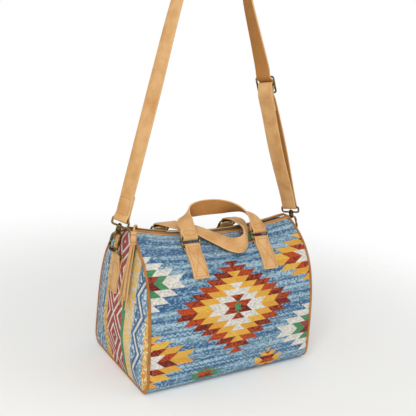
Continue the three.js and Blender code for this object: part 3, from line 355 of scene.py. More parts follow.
class Body:
    """Shape of the stuffed body that every sewn piece lies on."""

    def __init__(self, size, trim):
        self.size = size
        self.half = size.length / 2
        self.base_half = size.depth / 2
        self.zip_edge = size.zip_gap / 2
        self.panel_half = self.half - trim.piping - FIT
        self.rim_inset = 2 * trim.piping + FIT
        self.zip_half = self.half - ZIP_MARGIN
        self.sag_radius = (self.half ** 2 + size.top_sag ** 2) / (2 * size.top_sag)
        self.pulls = (
            Vector((self.base_half, size.corner)),
            Vector((self.base_half - SIDE_TAPER, SIDE_RISE)),
            Vector((self.base_half - SHOULDER_TAPER, size.height - SHOULDER_DROP)),
            Vector((self.zip_edge, size.height)),
        )
        points = [self.wall_point(t) for t in spread(0, 1, WALL_SAMPLES)]
        self.runs = [0.0]
        for a, b in zip(points, points[1:]):
            self.runs.append(self.runs[-1] + (b - a).length)
        self.wall_length = self.runs[-1]
        self.foot = self.base_half - size.corner + size.corner * math.pi / 2
        self.cloth_half = self.foot + self.wall_length
        slope = self.wall_slope(1.0)
        outer = CHAIN_GAP / 2 + TAPE_WIDTH
        drop = size.wall * math.hypot(1, slope.y / slope.x)
        self.tape_top = self.crest(self.half, outer) - drop - TAPE_EASE

    def wall_point(self, t):
        """Point of a wall's curve, from its foot at 0 to the panel edge at 1."""
        a, b, c, d = self.pulls
        s = 1 - t
        return a * s ** 3 + b * (3 * s * s * t) + c * (3 * s * t * t) + d * t ** 3

    def wall_slope(self, t):
        """Direction of that curve."""
        a, b, c, d = self.pulls
        s = 1 - t
        return (b - a) * (s * s) + (c - b) * (2 * s * t) + (d - c) * (t * t)

    def wall_at(self, run):
        """Point of the wall at a distance along the cloth from its foot."""
        run = min(max(run, 0.0), self.wall_length)
        i = min(max(bisect.bisect_right(self.runs, run) - 1, 0), len(self.runs) - 2)
        share = (run - self.runs[i]) / (self.runs[i + 1] - self.runs[i])
        return self.wall_point((i + share) / (len(self.runs) - 1))

    def run_at(self, height):
        """Distance along the cloth from the middle of the base to a height on the wall."""
        low, high = 0.0, self.wall_length
        for _ in range(HALVINGS):
            middle = (low + high) / 2
            if self.wall_at(middle).y < height:
                low = middle
            else:
                high = middle
        return self.foot + low

    def stations(self, base_steps, corner_steps, wall_steps):
        """Half section from the middle of the base to the panel edge."""
        flat = self.base_half - self.size.corner
        found = [Station(Vector((x, 0)), Vector((0, -1)), x) for x in spread(0, flat, base_steps)[:-1]]
        for turn in spread(0, math.pi / 2, corner_steps)[:-1]:
            out = Vector((math.sin(turn), -math.cos(turn)))
            at = Vector((flat, self.size.corner)) + out * self.size.corner
            found.append(Station(at, out, flat + turn * self.size.corner))
        for i in range(wall_steps + 1):
            slope = self.wall_slope(i / wall_steps).normalized()
            run = self.foot + self.runs[round(i / wall_steps * (len(self.runs) - 1))]
            found.append(Station(self.wall_point(i / wall_steps), Vector((slope.y, -slope.x)), run))
        return found

    def section(self, steps):
        """Whole section from the front edge round the base to the back edge, each station with its face."""
        half = self.stations(*steps)
        return [(-1, s) for s in reversed(half)] + [(1, s) for s in half[1:]]

    def zip_drop(self, x):
        """How far the zip's arc lies below its ends."""
        inside = max(self.sag_radius ** 2 - x ** 2, 0.0)
        return max(self.size.top_sag - self.sag_radius + math.sqrt(inside), 0.0)

    def soften(self, x, face, at, height):
        """Moves a point of the straight section to its place on the soft body."""
        share = max(1 - (x / self.half) ** 2, 0.0)
        full = self.size.belly * share * math.sin(math.pi * min(height / BELLY_TOP, 1.0))
        follow = min(max((height - SAG_START) / (self.size.height - SAG_START), 0.0), 1.0) ** 4
        return Vector((x, face * (at.x + full), at.y - self.zip_drop(x) * follow))

    def on_panel(self, x, face, down):
        """A place on a panel, measured along the cloth down from its edge."""

        def place(px, distance):
            at = self.wall_at(self.wall_length - distance)
            return self.soften(px, face, at, at.y)

        up = (place(x, down - SLOPE_STEP) - place(x, down + SLOPE_STEP)).normalized()
        along = (place(x + SLOPE_STEP, down) - place(x - SLOPE_STEP, down)).normalized()
        return Place(place(x, down), up, (along.cross(up) * -face).normalized())

    def crest(self, x, y):
        """Height of the body's upper surface at (x, y)."""
        if abs(y) <= self.zip_edge:
            return self.size.height - self.zip_drop(x)
        low, high = 0.0, 1.0
        for _ in range(HALVINGS):
            middle = (low + high) / 2
            at = self.wall_point(middle)
            if abs(self.soften(x, 1, at, at.y).y) > abs(y):
                low = middle
            else:
                high = middle
        at = self.wall_point(low)
        return self.soften(x, 1, at, at.y).z

    def on_end(self, side, height):
        """A place on an end panel's centre line."""
        reach = self.size.height - self.rim_inset - END_CENTRE

        def place(z):
            share = (z - END_CENTRE) / reach
            out = self.half + self.size.wall / 2 + self.size.end_bulge * (1 - share ** 2)
            return Vector((side * out, 0, z))

        up = (place(height + SLOPE_STEP) - place(height - SLOPE_STEP)).normalized()
        return Place(place(height), up, (ALONG_Y.cross(up) * side).normalized())


# Meshes

Frame = namedtuple("Frame", "at across out run")


def catmull(points, place):
    """A point of the smooth line through points, at a place counted in spans."""
    last = len(points) - 1
    i = min(int(place), last - 1)
    f = place - i
    b, c = points[i], points[i + 1]
    a = points[i - 1] if i else b * 2 - c
    d = points[i + 2] if i + 2 <= last else c * 2 - b
    ab, bc, cd = math.sqrt((b - a).length), math.sqrt((c - b).length), math.sqrt((d - c).length)
    leave = ((b - a) / ab - (c - a) / (ab + bc) + (c - b) / bc) * bc
    arrive = ((c - b) / bc - (d - b) / (bc + cd) + (d - c) / cd) * bc
    square = (c - b) * 3 - leave * 2 - arrive
    cube = (b - c) * 2 + leave + arrive
    return b + leave * f + square * f ** 2 + cube * f ** 3


def lay(stations, per_span=PER_SPAN, ease=0):
    """Frames of a strip through stations that give its middle line and its outer face.

    Each pass of ease lets the leather shear a little, so that a sharp turn doesn't crease its edge.
    """
    points = [at for at, _ in stations]
    spans = len(points) - 1
    nudge = 1e-4 * spans
    frames = []
    for i in range(spans * per_span + 1):
        place = i / per_span
        span = min(int(place), spans - 1)
        ahead = catmull(points, min(place + nudge, spans))
        behind = catmull(points, max(place - nudge, 0))
        along = (ahead - behind).normalized()
        facing = stations[span][1].lerp(stations[span + 1][1], place - span)
        across = along.cross(facing).normalized()
        at = catmull(points, place)
        run = frames[-1].run + (at - frames[-1].at).length if frames else 0.0
        frames.append(Frame(at, across, across.cross(along).normalized(), run))
    for _ in range(ease):
        near = zip(frames, frames[1:], frames[2:])
        middle = [b._replace(across=(a.across + b.across * 2 + c.across).normalized()) for a, b, c in near]
        frames = frames[:1] + middle + frames[-1:]
    return frames


def skin(bm, rings, marks, runs, kinds, loop=False, paired=False):
    """Faces over a row of equal rings, with distances round and along them as UVs."""
    layer = bm.loops.layers.uv.verify()
    rows = [[bm.verts.new(point) for point in ring] for ring in rings]
    count = len(rows[0])
    for i in range(len(rows) if loop else len(rows) - 1):
        n = (i + 1) % len(rows)
        for j in range(count):
            k = (j + 1) % count
            face = bm.faces.new((rows[i][j], rows[n][j], rows[n][k], rows[i][k]))
            face.smooth = True
            face.material_index = kinds[j]
            corners = ((j, i), (j, i + 1), (j + 1, i + 1), (j + 1, i))
            for corner, (m, r) in zip(face.loops, corners):
                corner[layer].uv = (marks[m], runs[r])
    if loop:
        return
    for row, run in ((rows[0], runs[0]), (rows[-1], runs[-1])):
        if paired:
            quads = [(i, i + 1, count - 2 - i, count - 1 - i) for i in range(count // 2 - 1)]
        else:
            quads = [range(count)]
        for quad in quads:
            face = bm.faces.new([row[i] for i in quad])
            face.material_index = max(kinds)
            for corner, i in zip(face.loops, quad):
                corner[layer].uv = (marks[i], run)


def strip(bm, frames, width, thickness):
    """A strip of leather with softened edges along frames."""
    round_off = 0.4 * thickness
    w, t = width / 2 - round_off, thickness / 2 - round_off
    profile, kinds = [], []
    quarters = ((1, 1, GRAIN), (-1, 1, EDGE), (-1, -1, FLESH), (1, -1, EDGE))
    for quarter, (sx, sy, after) in enumerate(quarters):
        for i in range(3):
            turn = (quarter + i / 2) * math.pi / 2
            profile.append((sx * w + round_off * math.cos(turn), sy * t + round_off * math.sin(turn)))
            kinds.append(after if i == 2 else EDGE)
    rings = [[f.at + f.across * u + f.out * d for u, d in profile] for f in frames]
    marks = [u for u, _ in profile] + [profile[0][0]]
    skin(bm, rings, marks, [f.run for f in frames], kinds)


def wire(bm, points, normal, radius, loop=True, sides=WIRE_SIDES):
    """A round wire through points that lie in one plane with the given normal."""
    count = len(points)
    rings, runs = [], [0.0]
    for i, at in enumerate(points):
        before = points[i - 1] if loop or i else at
        after = points[(i + 1) % count] if loop or i + 1 < count else at
        out = (after - before).cross(normal).normalized()
        turns = [2 * math.pi * (j + 0.5) / sides for j in range(sides)]
        rings.append([at + out * (radius * math.cos(t)) + normal * (radius * math.sin(t)) for t in turns])
        runs.append(runs[-1] + (points[(i + 1) % count] - at).length)
    marks = [2 * math.pi * radius * j / sides for j in range(sides + 1)]
    skin(bm, rings, marks, runs, [0] * sides, loop)


def tube(bm, points, radius, sides=WIRE_SIDES):
    """A round cord through points of any line."""
    rings, runs = [], [0.0]
    out = None
    for i, at in enumerate(points):
        along = (points[min(i + 1, len(points) - 1)] - points[max(i - 1, 0)]).normalized()
        out = along.orthogonal() if out is None else out - along * out.dot(along)
        out.normalize()
        side = along.cross(out)
        turns = [2 * math.pi * j / sides for j in range(sides)]
        rings.append([at + out * (radius * math.cos(t)) + side * (radius * math.sin(t)) for t in turns])
        runs.append(runs[-1] + (rings[-1][0] - rings[-2][0]).length if i else 0.0)
    marks = [2 * math.pi * radius * j / sides for j in range(sides + 1)]
    skin(bm, rings, marks, runs[1:], [0] * sides)


def turned(bm, profile, at, axis, sides=TURNED_SIDES):
    """A turned piece from (radius, height) points along an axis."""
    across = axis.orthogonal().normalized()
    side = axis.cross(across)
    turns = [2 * math.pi * j / sides for j in range(sides)]
    rings = [
        [at + axis * h + across * (r * math.cos(t)) + side * (r * math.sin(t)) for t in turns]
        for r, h in profile
    ]
    marks = [COLLAR_RADIUS * t for t in turns] + [COLLAR_RADIUS * 2 * math.pi]
    skin(bm, rings, marks, [h for _, h in profile], [0] * sides)


def mirrored(profile, height):
    """Both ends of a turned profile, from the (radius, height) points of its lower end."""
    return [*profile, *((radius, height - low) for radius, low in reversed(profile))]


def rounded_frame(centre, across, up, half_width, half_height, corner, per_corner=6):
    """Points of an upright rounded frame in a plane given by two directions."""
    points = []
    for quarter, (sx, sy) in enumerate(((1, 1), (-1, 1), (-1, -1), (1, -1))):
        for i in range(per_corner):
            turn = (quarter + i / (per_corner - 1)) * math.pi / 2
            out = sx * (half_width - corner) + corner * math.cos(turn)
            rise = sy * (half_height - corner) + corner * math.sin(turn)
            points.append(centre + across * out + up * rise)
    return points


def fold(bar, first, lead, radius, steps=4):
    """Stations of a half turn of leather round a bar."""
    outs = [first * math.cos(t) + lead * math.sin(t) for t in spread(0, math.pi, steps)]
    return [(bar + out * radius, out) for out in outs]


def thread_stitch(bm, start, end, normal, radius):
    """One stitch of thread, dipping into the leather at both ends."""
    sunk = 0.6
    along = (end - start).normalized()
    side = along.cross(normal).normalized()
    rings = []
    for share, scale in ((0, 0.4), (0.2, 0.9), (0.5, 1.0), (0.8, 0.9), (1, 0.4)):
        at = start.lerp(end, share) + normal * (radius * (scale - sunk))
        turns = [2 * math.pi * j / THREAD_SIDES for j in range(THREAD_SIDES)]
        rings.append([at + (side * math.cos(t) + normal * math.sin(t)) * (radius * scale) for t in turns])
    skin(bm, rings, [0.0] * (THREAD_SIDES + 1), [0.0] * len(rings), [0] * THREAD_SIDES)


def on_strip(frames, across, run, lift):
    """A point over a strip's outer face, and the face's normal there."""
    runs = [f.run for f in frames]
    i = min(max(bisect.bisect_right(runs, run) - 1, 0), len(frames) - 2)
    a, b = frames[i], frames[i + 1]
    share = min(max((run - a.run) / (b.run - a.run), 0.0), 1.0)
    out = a.out.lerp(b.out, share)
    return a.at.lerp(b.at, share) + a.across.lerp(b.across, share) * across + out * lift, out


def sew(bm, frames, corners, lift, trim):
    """A row of stitches along straight lines between corners given as (across, run)."""
    gap = 0.3  # between stitches, as a share of one
    for (u0, r0), (u1, r1) in zip(corners, corners[1:]):
        distance = math.hypot(u1 - u0, r1 - r0)
        count = max(round(distance / (trim.stitch * (1 + gap))), 1)
        for i in range(count):
            shares = ((i + gap / 2) / count, (i + 1 - gap / 2) / count)
            ends = [on_strip(frames, u0 + (u1 - u0) * s, r0 + (r1 - r0) * s, lift) for s in shares]
            thread_stitch(bm, ends[0][0], ends[1][0], ends[0][1], trim.thread)


def box_of(half, low, high):
    """Corners of a closed box of stitches."""
    return [(-half, low), (half, low), (half, high), (-half, high), (-half, low)]


def piece(name, bm, materials, body, slot, *nodes):
    """Makes a mesh a piece that rides on a body and stands for its solids."""
    bmesh.ops.recalc_face_normals(bm, faces=bm.faces)
    mesh = bpy.data.meshes.new(name)
    bm.to_mesh(mesh)
    bm.free()
    for material in materials:
        mesh.materials.append(material)
    mesh.set_sharp_from_angle(angle=SHARP_ANGLE)
    obj = bpy.data.objects.new(name, mesh)
    bpy.context.scene.collection.objects.link(obj)
    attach(obj, body)
    if nodes:
        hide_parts(*nodes)
    return obj


# Materials, with the lengths of their patterns in millimetres

MM = 1000.0

# Weave: wool is drawn about twice as coarse as it is and cotton about four times, so that they show
WEAVE = (3.8, 2.4)
TAPE_RIB = 1.6
LINING_RIB = 2.0
CELL_NOISE = 1.2
WOOL_LIGHT = (0.85, 1.25)
COTTON_LIGHT = (0.85, 1.15)

# Kilim of the panels: streaks and flecks, saw-edged rows in which two wools take turns, zigzag borders
STREAK = (420.0, 11.0)
FLECK = 0.62
SAW = -0.73
ROW_TURN = 0.37
SIDE_TURN = 0.3
TURN_RANGE = (0.75, 1.45)
BORDER_LEVELS = (35, 108)
BORDER_STEP = 4.0
BORDER_SHARE = 0.8

# Kilim of the gussets: stray picks by their tone, border lines, and a lattice drawn in shares of a lozenge
SPARSE = 0.76
DENSE = 0.45
SPARSE_ON_BLUE = 0.8
SPARSE_ON_GOLD = 0.5
GUSSET_LINES = (76.0, 81.0, 86.0)
LATTICE_HALF = 30.0
LATTICE_RISE = 46.0
LATTICE_SHIFT = (4.0, 18.0)
LATTICE_PHASE = 0.08
LATTICE_REPEAT = 0.5
LATTICE_LINE = 0.16

# Leather and brass: the pores are drawn several times as coarse as they are, so that they show
CLOUD = 26.3
SPECK = 2.38
PORE = 1.43
WEAR = 6.67

MATH = "ShaderNodeMath"
MIX = "ShaderNodeMix"
MAP = "ShaderNodeMapRange"
SHIFT = "ShaderNodeHueSaturation"
SURFACE = "ShaderNodeBsdfPrincipled"
OUTPUT = "ShaderNodeOutputMaterial"


def add_node(tree, kind, *links, **settings):
    """Adds a node with its settings, and links or values for its inputs, in order or by their names."""
    node = tree.nodes.new(kind)
    named = {key: settings.pop(key) for key in list(settings) if key in node.inputs}
    for key, value in settings.items():
        setattr(node, key, value)
    used = [socket for socket in node.inputs if socket.enabled]
    for socket, value in [*zip(used, links), *((node.inputs[key], value) for key, value in named.items())]:
        if isinstance(value, bpy.types.Node):
            value = next(output for output in value.outputs if output.enabled)
        if isinstance(value, bpy.types.NodeSocket):
            tree.links.new(value, socket)
        else:
            socket.default_value = value
    return node


def new_material(name):
    """A material with an empty tree, and what adds a node to it."""
    material = bpy.data.materials.new(name)
    material.use_nodes = True
    material.node_tree.nodes.clear()
    return material, functools.partial(add_node, material.node_tree)


# A medallion: centre, half sizes and row height in millimetres, then colours from its rim to its middle
Motif = namedtuple("Motif", "across height reach rise row bands")


def motifs(c):
    """The rug's medallions, each band with its outer share and the two wools that its rows take turns in."""
    middle = (
        (0.963, c.rust, c.maroon), (0.695, c.yellow, c.amber),
        (0.428, c.ivory, c.ivory), (0.16, c.rust, c.maroon))
    cream = (1, c.ivory, c.ivory), (0.46, c.green, c.green), (0.18, c.brick, c.maroon)
    gold = (1, c.yellow, c.amber), (0.53, c.rust, c.maroon), (0.18, c.ivory, c.ivory)
    return (
        Motif(-1, 146, 126, 86, 11.5, middle),
        Motif(-1, 146, 5, 6, 6, ((1, c.green, c.green),)),
        Motif(-185, 207, 62, 41, 12.5, cream),
        Motif(-185, 66, 76, 40, 12.5, gold),
        Motif(185, 220, 84, 40, 12.5, gold),
        Motif(185, 76, 74, 44, 12.5, cream),
        Motif(-67, 12, 26, 10, 6, ((1, c.green, c.green), (0.4, c.rust, c.maroon))),
        Motif(80, 23, 26, 15, 8, ((1, c.yellow, c.amber), (0.45, c.maroon, c.rust))),
        Motif(72, 268, 24, 18, 8, ((1, c.brick, c.maroon), (0.4, c.green, c.green))),
    )


def weave(add, across, along, pick, end):
    """Random tone of each woven cell, and the weave's height."""
    column = add(MATH, across, pick, operation="SNAP")
    row = add(MATH, along, end, operation="SNAP")
    tone = add("ShaderNodeTexWhiteNoise", add("ShaderNodeCombineXYZ", column, row), noise_dimensions="2D")
    rib = add(MATH, add(MATH, along, 2 * math.pi / end, operation="MULTIPLY"), operation="SINE")
    return tone, add(MATH, tone, CELL_NOISE, rib, operation="MULTIPLY_ADD")


def wool(add, colour, tone, height):
    """Gives a material a wool weave's heathered colour and ribbed surface."""
    light = add(MAP, tone, 0.0, 1.0, *WOOL_LIGHT)
    heathered = add(SHIFT, Value=light, Color=colour)
    bump = add("ShaderNodeBump", Strength=0.7, Distance=0.0012, Height=height)
    matt = {"Roughness": 0.95, "Specular IOR Level": 0.15, "Sheen Weight": 0.12}
    add(OUTPUT, add(SURFACE, **{"Base Color": heathered, "Normal": bump}, **matt))


def blue_ground(add, c, across, along, tone):
    """Abrash: long straight streaks of several blues along the weft, flecked with paler and deeper picks."""
    sizes = zip((across, along), STREAK)
    stretch = add("ShaderNodeCombineXYZ", *(add(MATH, run, size, operation="DIVIDE") for run, size in sizes))
    streak = add(
        "ShaderNodeTexNoise", noise_dimensions="2D", Vector=stretch, Scale=1.0, Detail=1.5, Roughness=0.6)
    ground = add("ShaderNodeValToRGB", streak)
    stops = ground.color_ramp.elements
    stops.remove(stops[1])
    stops[0].position, stops[0].color = 0.39, c.deep_blue
    for place, colour in ((0.46, c.mid_blue), (0.52, c.grey_blue), (0.56, c.mid_blue), (0.62, c.pale_blue)):
        stops.new(place).color = colour
    for start, end, colour in ((0.55, 1.0, c.pale_blue), (0.45, 0.0, c.deep_blue)):
        fleck = add(MAP, tone, start, end, 0.0, FLECK)
        ground = add(MIX, fleck, ground, colour, data_type="RGBA")
    return ground


Zigzag = namedtuple("Zigzag", "pitch swing width")
BORDER = Zigzag(5.0, 3.0, 2.6)
GUSSET_BORDER = Zigzag(36.0, 16.0, 4.5)


def zigzag(add, across, along, shape, middle):
    """1 on one zigzag line that runs across the cloth."""
    wave = add(MATH, across, shape.pitch, operation="PINGPONG")
    bent = add(MATH, wave, shape.swing / shape.pitch, along, operation="MULTIPLY_ADD")
    return add(MATH, bent, middle + shape.swing / 2, shape.width / 2, operation="COMPARE")


def kilim_material(name, c):
    """Flat-woven wool: crisp saw-edged medallions on streaked blue, matt, with ribs that catch the light."""
    material, add = new_material(name)
    body = the_body()
    plane = add("ShaderNodeSeparateXYZ", add("ShaderNodeUVMap"))
    along = add(MATH, add(MATH, plane.outputs[0], operation="ABSOLUTE"), MM, operation="MULTIPLY")
    across = add(MATH, plane.outputs[1], MM, operation="MULTIPLY")
    tone, height = weave(add, across, along, *WEAVE)
    colour = blue_ground(add, c, across, along, tone)
    for level in BORDER_LEVELS:
        start = body.run_at(level / MM) * MM
        for i, stripe in enumerate((c.deep_blue, c.pale_blue, c.deep_blue)):
            line = zigzag(add, across, along, BORDER, start + i * BORDER_STEP)
            share = add(MATH, line, BORDER_SHARE, operation="MULTIPLY")
            colour = add(MIX, share, colour, stripe, data_type="RGBA")
    for motif in motifs(c):
        centre = body.run_at(motif.height / MM) * MM
        out = add(MATH, across, float(motif.across), operation="SUBTRACT")
        rows = add(MATH, add(MATH, along, centre, operation="SUBTRACT"), motif.row, operation="DIVIDE")
        away = add(MATH, rows, operation="ABSOLUTE")
        row = add(MATH, away, operation="FLOOR")
        stepped = add(MATH, add(MATH, away, operation="FRACT"), SAW, row, operation="MULTIPLY_ADD")
        share = add(MATH, add(MATH, out, operation="ABSOLUTE"), motif.reach, operation="DIVIDE")
        share = add(MATH, stepped, motif.row / motif.rise, share, operation="MULTIPLY_ADD")
        side = add(MATH, add(MATH, out, 0.0, operation="GREATER_THAN"), SIDE_TURN, operation="MULTIPLY")
        turn = add(MATH, add(MATH, rows, operation="FLOOR"), ROW_TURN, side, operation="MULTIPLY_ADD")
        mixed = add(MATH, tone, CELL_NOISE, add(MATH, turn, operation="FRACT"), operation="MULTIPLY_ADD")
        other = add(MAP, mixed, *TURN_RANGE)
        for limit, first, second in motif.bands:
            paint = add(MIX, other, first, second, data_type="RGBA")
            inside = add(MATH, share, limit, operation="LESS_THAN")
            colour = add(MIX, inside, colour, paint, data_type="RGBA")
    wool(add, colour, tone, height)
    return material


def end_material(name, c):
    """Banded wool kilim: heathered blues outside a brick-red lattice, matt and ribbed like the panels."""
    material, add = new_material(name)
    plane = add("ShaderNodeSeparateXYZ", add("ShaderNodeUVMap"))
    across = add(MATH, plane.outputs[0], MM, operation="MULTIPLY")
    along = add(MATH, plane.outputs[1], MM, operation="MULTIPLY")
    tone, height = weave(add, along, across, *WEAVE)
    blue = blue_ground(add, c, along, across, tone)
    out = add(MATH, across, operation="ABSOLUTE")
    sparse = add(MATH, tone, SPARSE, operation="GREATER_THAN")
    dense = add(MATH, tone, DENSE, operation="GREATER_THAN")
    blue = add(MIX, add(MATH, sparse, SPARSE_ON_BLUE, operation="MULTIPLY"), blue, c.ivory, data_type="RGBA")
    for middle, colour in zip(GUSSET_LINES, (c.deep_blue, c.ivory, c.deep_blue)):
        line = zigzag(add, along, out, GUSSET_BORDER, middle)
        blue = add(MIX, line, blue, colour, data_type="RGBA")
    gold = add(MIX, dense, c.amber, c.yellow, data_type="RGBA")
    gold = add(MIX, add(MATH, sparse, SPARSE_ON_GOLD, operation="MULTIPLY"), gold, c.ivory, data_type="RGBA")
    dots = add(MIX, dense, c.ivory, c.yellow, data_type="RGBA")
    rows = add(MATH, add(MATH, across, LATTICE_SHIFT[0], operation="ADD"), operation="ABSOLUTE")
    steps = add(MATH, add(MATH, along, LATTICE_SHIFT[1], operation="ADD"), LATTICE_RISE, operation="PINGPONG")
    climb = add(MATH, steps, LATTICE_RISE, operation="DIVIDE")
    nested = add(MATH, rows, 1 / LATTICE_HALF, climb, operation="MULTIPLY_ADD")
    nested = add(MATH, nested, LATTICE_PHASE, operation="ADD")
    nested = add(MATH, nested, LATTICE_REPEAT, operation="FLOORED_MODULO")
    line = add(MATH, nested, LATTICE_LINE, operation="LESS_THAN")
    red = add(MIX, line, c.brick, c.ivory, data_type="RGBA")
    # Bands of the gusset, each from its edge on
    colour = gold
    for start, band in ((-100, blue), (-66, dots), (-42, c.green), (-33, red), (26, gold), (46, blue)):
        beyond = add(MATH, across, float(start), operation="GREATER_THAN")
        colour = add(MIX, beyond, colour, band, data_type="RGBA")
    wool(add, colour, tone, height)
    return material


def leather_material(name, main, cloud, roughness, grain):
    """Vegetable-tanned leather: cloudy tan from handling, with a low, broad shine over fine pores."""
    material, add = new_material(name)
    place = add("ShaderNodeTexCoord").outputs["Object"]
    clouds = add("ShaderNodeTexNoise", Vector=place, Scale=MM / CLOUD, Detail=4.0)
    colour = add(MIX, add(MAP, clouds, 0.38, 0.66), main, cloud, data_type="RGBA")
    specks = add("ShaderNodeTexNoise", Vector=place, Scale=MM / SPECK, Detail=2.0)
    colour = add(SHIFT, Value=add(MAP, specks, 0.3, 0.7, 0.93, 1.07), Color=colour)
    pores = add("ShaderNodeTexVoronoi", Vector=place, Scale=MM / PORE)
    rise = add(MATH, clouds, 1.5, pores, operation="MULTIPLY_ADD")
    bump = add("ShaderNodeBump", Strength=grain, Distance=0.0005, Height=rise)
    shine = {"Roughness": roughness, "Specular IOR Level": 0.35}
    add(OUTPUT, add(SURFACE, **{"Base Color": colour, "Normal": bump}, **shine))
    return material


def brass_material(name, c):
    """Antiqued brass: dark brown patina rubbed through to dull gold, so it glints only on its high spots."""
    material, add = new_material(name)
    place = add("ShaderNodeTexCoord").outputs["Object"]
    wear = add("ShaderNodeTexNoise", Vector=place, Scale=MM / WEAR, Detail=4.0)
    colour = add(MIX, add(MAP, wear, 0.40, 0.64), c.patina, c.brass, data_type="RGBA")
    dull = add(MAP, wear, 0.35, 0.65, 0.50, 0.30)
    add(OUTPUT, add(SURFACE, **{"Base Color": colour}, Roughness=dull, Metallic=0.9))
    return material


def cloth_material(name, colour, pitch):
    """Plain woven cotton: one dull colour with a fine even rib."""
    material, add = new_material(name)
    plane = add("ShaderNodeSeparateXYZ", add("ShaderNodeTexCoord").outputs["Object"])
    across = add(MATH, plane.outputs[0], MM, operation="MULTIPLY")
    slope = add(MATH, plane.outputs[1], plane.outputs[2], operation="ADD")
    along = add(MATH, slope, MM, operation="MULTIPLY")
    tone, height = weave(add, across, along, pitch, pitch)
    heathered = add(SHIFT, Value=add(MAP, tone, 0.0, 1.0, *COTTON_LIGHT), Color=colour)
    bump = add("ShaderNodeBump", Strength=0.4, Distance=0.0004, Height=height)
    add(OUTPUT, add(SURFACE, **{"Base Color": heathered, "Normal": bump}, Roughness=0.9))
    return material


def plain_material(name, colour, roughness):
    """An even finish: waxed thread with a dull shine, or pressed board with none."""
    material, add = new_material(name)
    add(OUTPUT, add(SURFACE, **{"Base Color": colour}, Roughness=roughness))
    return material


def floor_material(name, c):
    """Pale paper that fades out round the bag, so that only the soft shadow shows against the white."""
    material, add = new_material(name)
    away = add("ShaderNodeVectorMath", add("ShaderNodeTexCoord").outputs["Object"], operation="LENGTH")
    fade = add(MAP, away.outputs["Value"], *FLOOR_FADE, interpolation_type="SMOOTHSTEP")
    paper = add(SURFACE, **{"Base Color": c.floor}, Roughness=0.9)
    add(OUTPUT, add("ShaderNodeMixShader", fade, paper, add("ShaderNodeBsdfTransparent")))
    return material


def finish(name):
    """A finish of the bag, made when it is first asked for from its colours, roughness and depth of grain."""
    c = bpy.context.scene.bag_colours
    makers = {
        "flat_woven_wool_kilim": (kilim_material, c),
        "banded_wool_kilim": (end_material, c),
        "tan_leather_grain": (leather_material, c.leather, c.leather_dark, 0.55, 0.25),
        "tan_leather_flesh": (leather_material, c.flesh, c.piping, 0.85, 0.5),
        "tan_leather_edge": (leather_material, c.cut_edge, c.leather, 0.7, 0.3),
        "brown_leather_piping": (leather_material, c.piping, c.piping_dark, 0.5, 0.3),
        "antiqued_brass": (brass_material, c),
        "zip_tape_cotton": (cloth_material, c.tape, TAPE_RIB),
        "lining_cotton": (cloth_material, c.lining, LINING_RIB),
        "pressed_board": (plain_material, c.board, 0.9),
        "waxed_thread": (plain_material, c.thread, 0.6),
        "pale_paper_floor": (floor_material, c),
    }
    make, *values = makers[name]
    return bpy.data.materials.get(name) or make(name, *values)


def hide():
    """Finishes of a strip of leather: grain side, flesh side and cut edge."""
    return [finish("tan_leather_grain"), finish("tan_leather_flesh"), finish("tan_leather_edge")]


def the_body():
    """The body that the scene's sizes give."""
    return Body(bpy.context.scene.bag_sizes, bpy.context.scene.bag_trim)


# Pieces

def tab_fold(trim):
    """Radius of a handle tab's middle line round its ring."""
    return trim.ring_wire + RING_EASE + trim.tab_leather / 2


def handle_fold(trim):
    """Radius of a handle's middle line round its ring."""
    return trim.ring_wire + RING_EASE + trim.handle_leather / 2


def handle_x(face_name, side):
    """Middle of a handle's end along the bag."""
    return HANDLE_SHIFT[face_name] + side * HANDLE_SPACING / 2


def ring_seat(body, trim, x, face):
    """Place of a ring's lower bar in the fold of its tab, with the tab's directions there."""
    top = body.on_panel(x, face, TAB_DOWN + tab_fold(trim))
    out = Vector((0, top.out.y, top.out.z)).normalized()
    up = Vector((0, top.up.y, top.up.z)).normalized()
    return top.at + out * (FIT + TAB_LIFT + trim.tab_leather / 2 + tab_fold(trim)), out, up


def lean_back(face):
    """Direction in which a handle's rings stand."""
    return Vector((0, -face * math.sin(HANDLE_LEAN), math.cos(HANDLE_LEAN)))


def hollow(body, trim, x, face, run):
    """How far the stuffed cloth is pressed in at a place, clear of what is sewn on."""
    from_seam = body.panel_half - abs(x)
    from_edge = body.cloth_half - run
    free = smoothstep(from_seam, *SEAM_FADE) * smoothstep(from_edge, *EDGE_FADE)
    free *= smoothstep(run - body.foot, *BASE_FADE)
    name = "front" if face < 0 else "back"
    middle = TAB_DOWN + trim.tab_length / 2
    for side in SIDES.values():
        off_x = abs(x - handle_x(name, side)) - trim.tab_width / 2
        off_run = abs(from_edge - middle) - trim.tab_length / 2 - TAB_MARGIN
        free *= smoothstep(max(off_x, off_run), 0.0, TAB_FADE)
    # Slow and quick waves of the stuffing, in radians a metre, then slanting drag lines by the end seams
    drift = math.sin(21 * x + 13 * run + 2.1 * face) * math.sin(17 * run - 9 * x + 0.7)
    ripple = math.sin(48 * x - 31 * run + face) * math.sin(37 * run + 1.3)
    lines = math.sin(2 * math.pi * (run + DRAG_SLANT * abs(x)) / DRAG_PITCH + face)
    drag = (1 - smoothstep(from_seam, *DRAG_FADE)) * lines
    soft = body.size.slack * free * (0.5 + 0.3 * drift + 0.1 * ripple + 0.3 * drag)
    gather = 0.5 + 0.5 * math.sin(run * 2 * math.pi / PUCKER_PITCH)
    pucker = PUCKER_DEPTH * (1 - smoothstep(from_seam, *PUCKER_FADE)) * gather
    tuck = TUCK_DEPTH * (1 - smoothstep(from_seam, 0.0, TUCK_FADE))
    return soft + pucker + tuck


def leather_strip(name, frames, width, thickness, body, node):
    """A piece of tan leather along frames."""
    bm = bmesh.new()
    strip(bm, frames, width, thickness)
    piece(name, bm, hide(), body, "tan_leather", node)


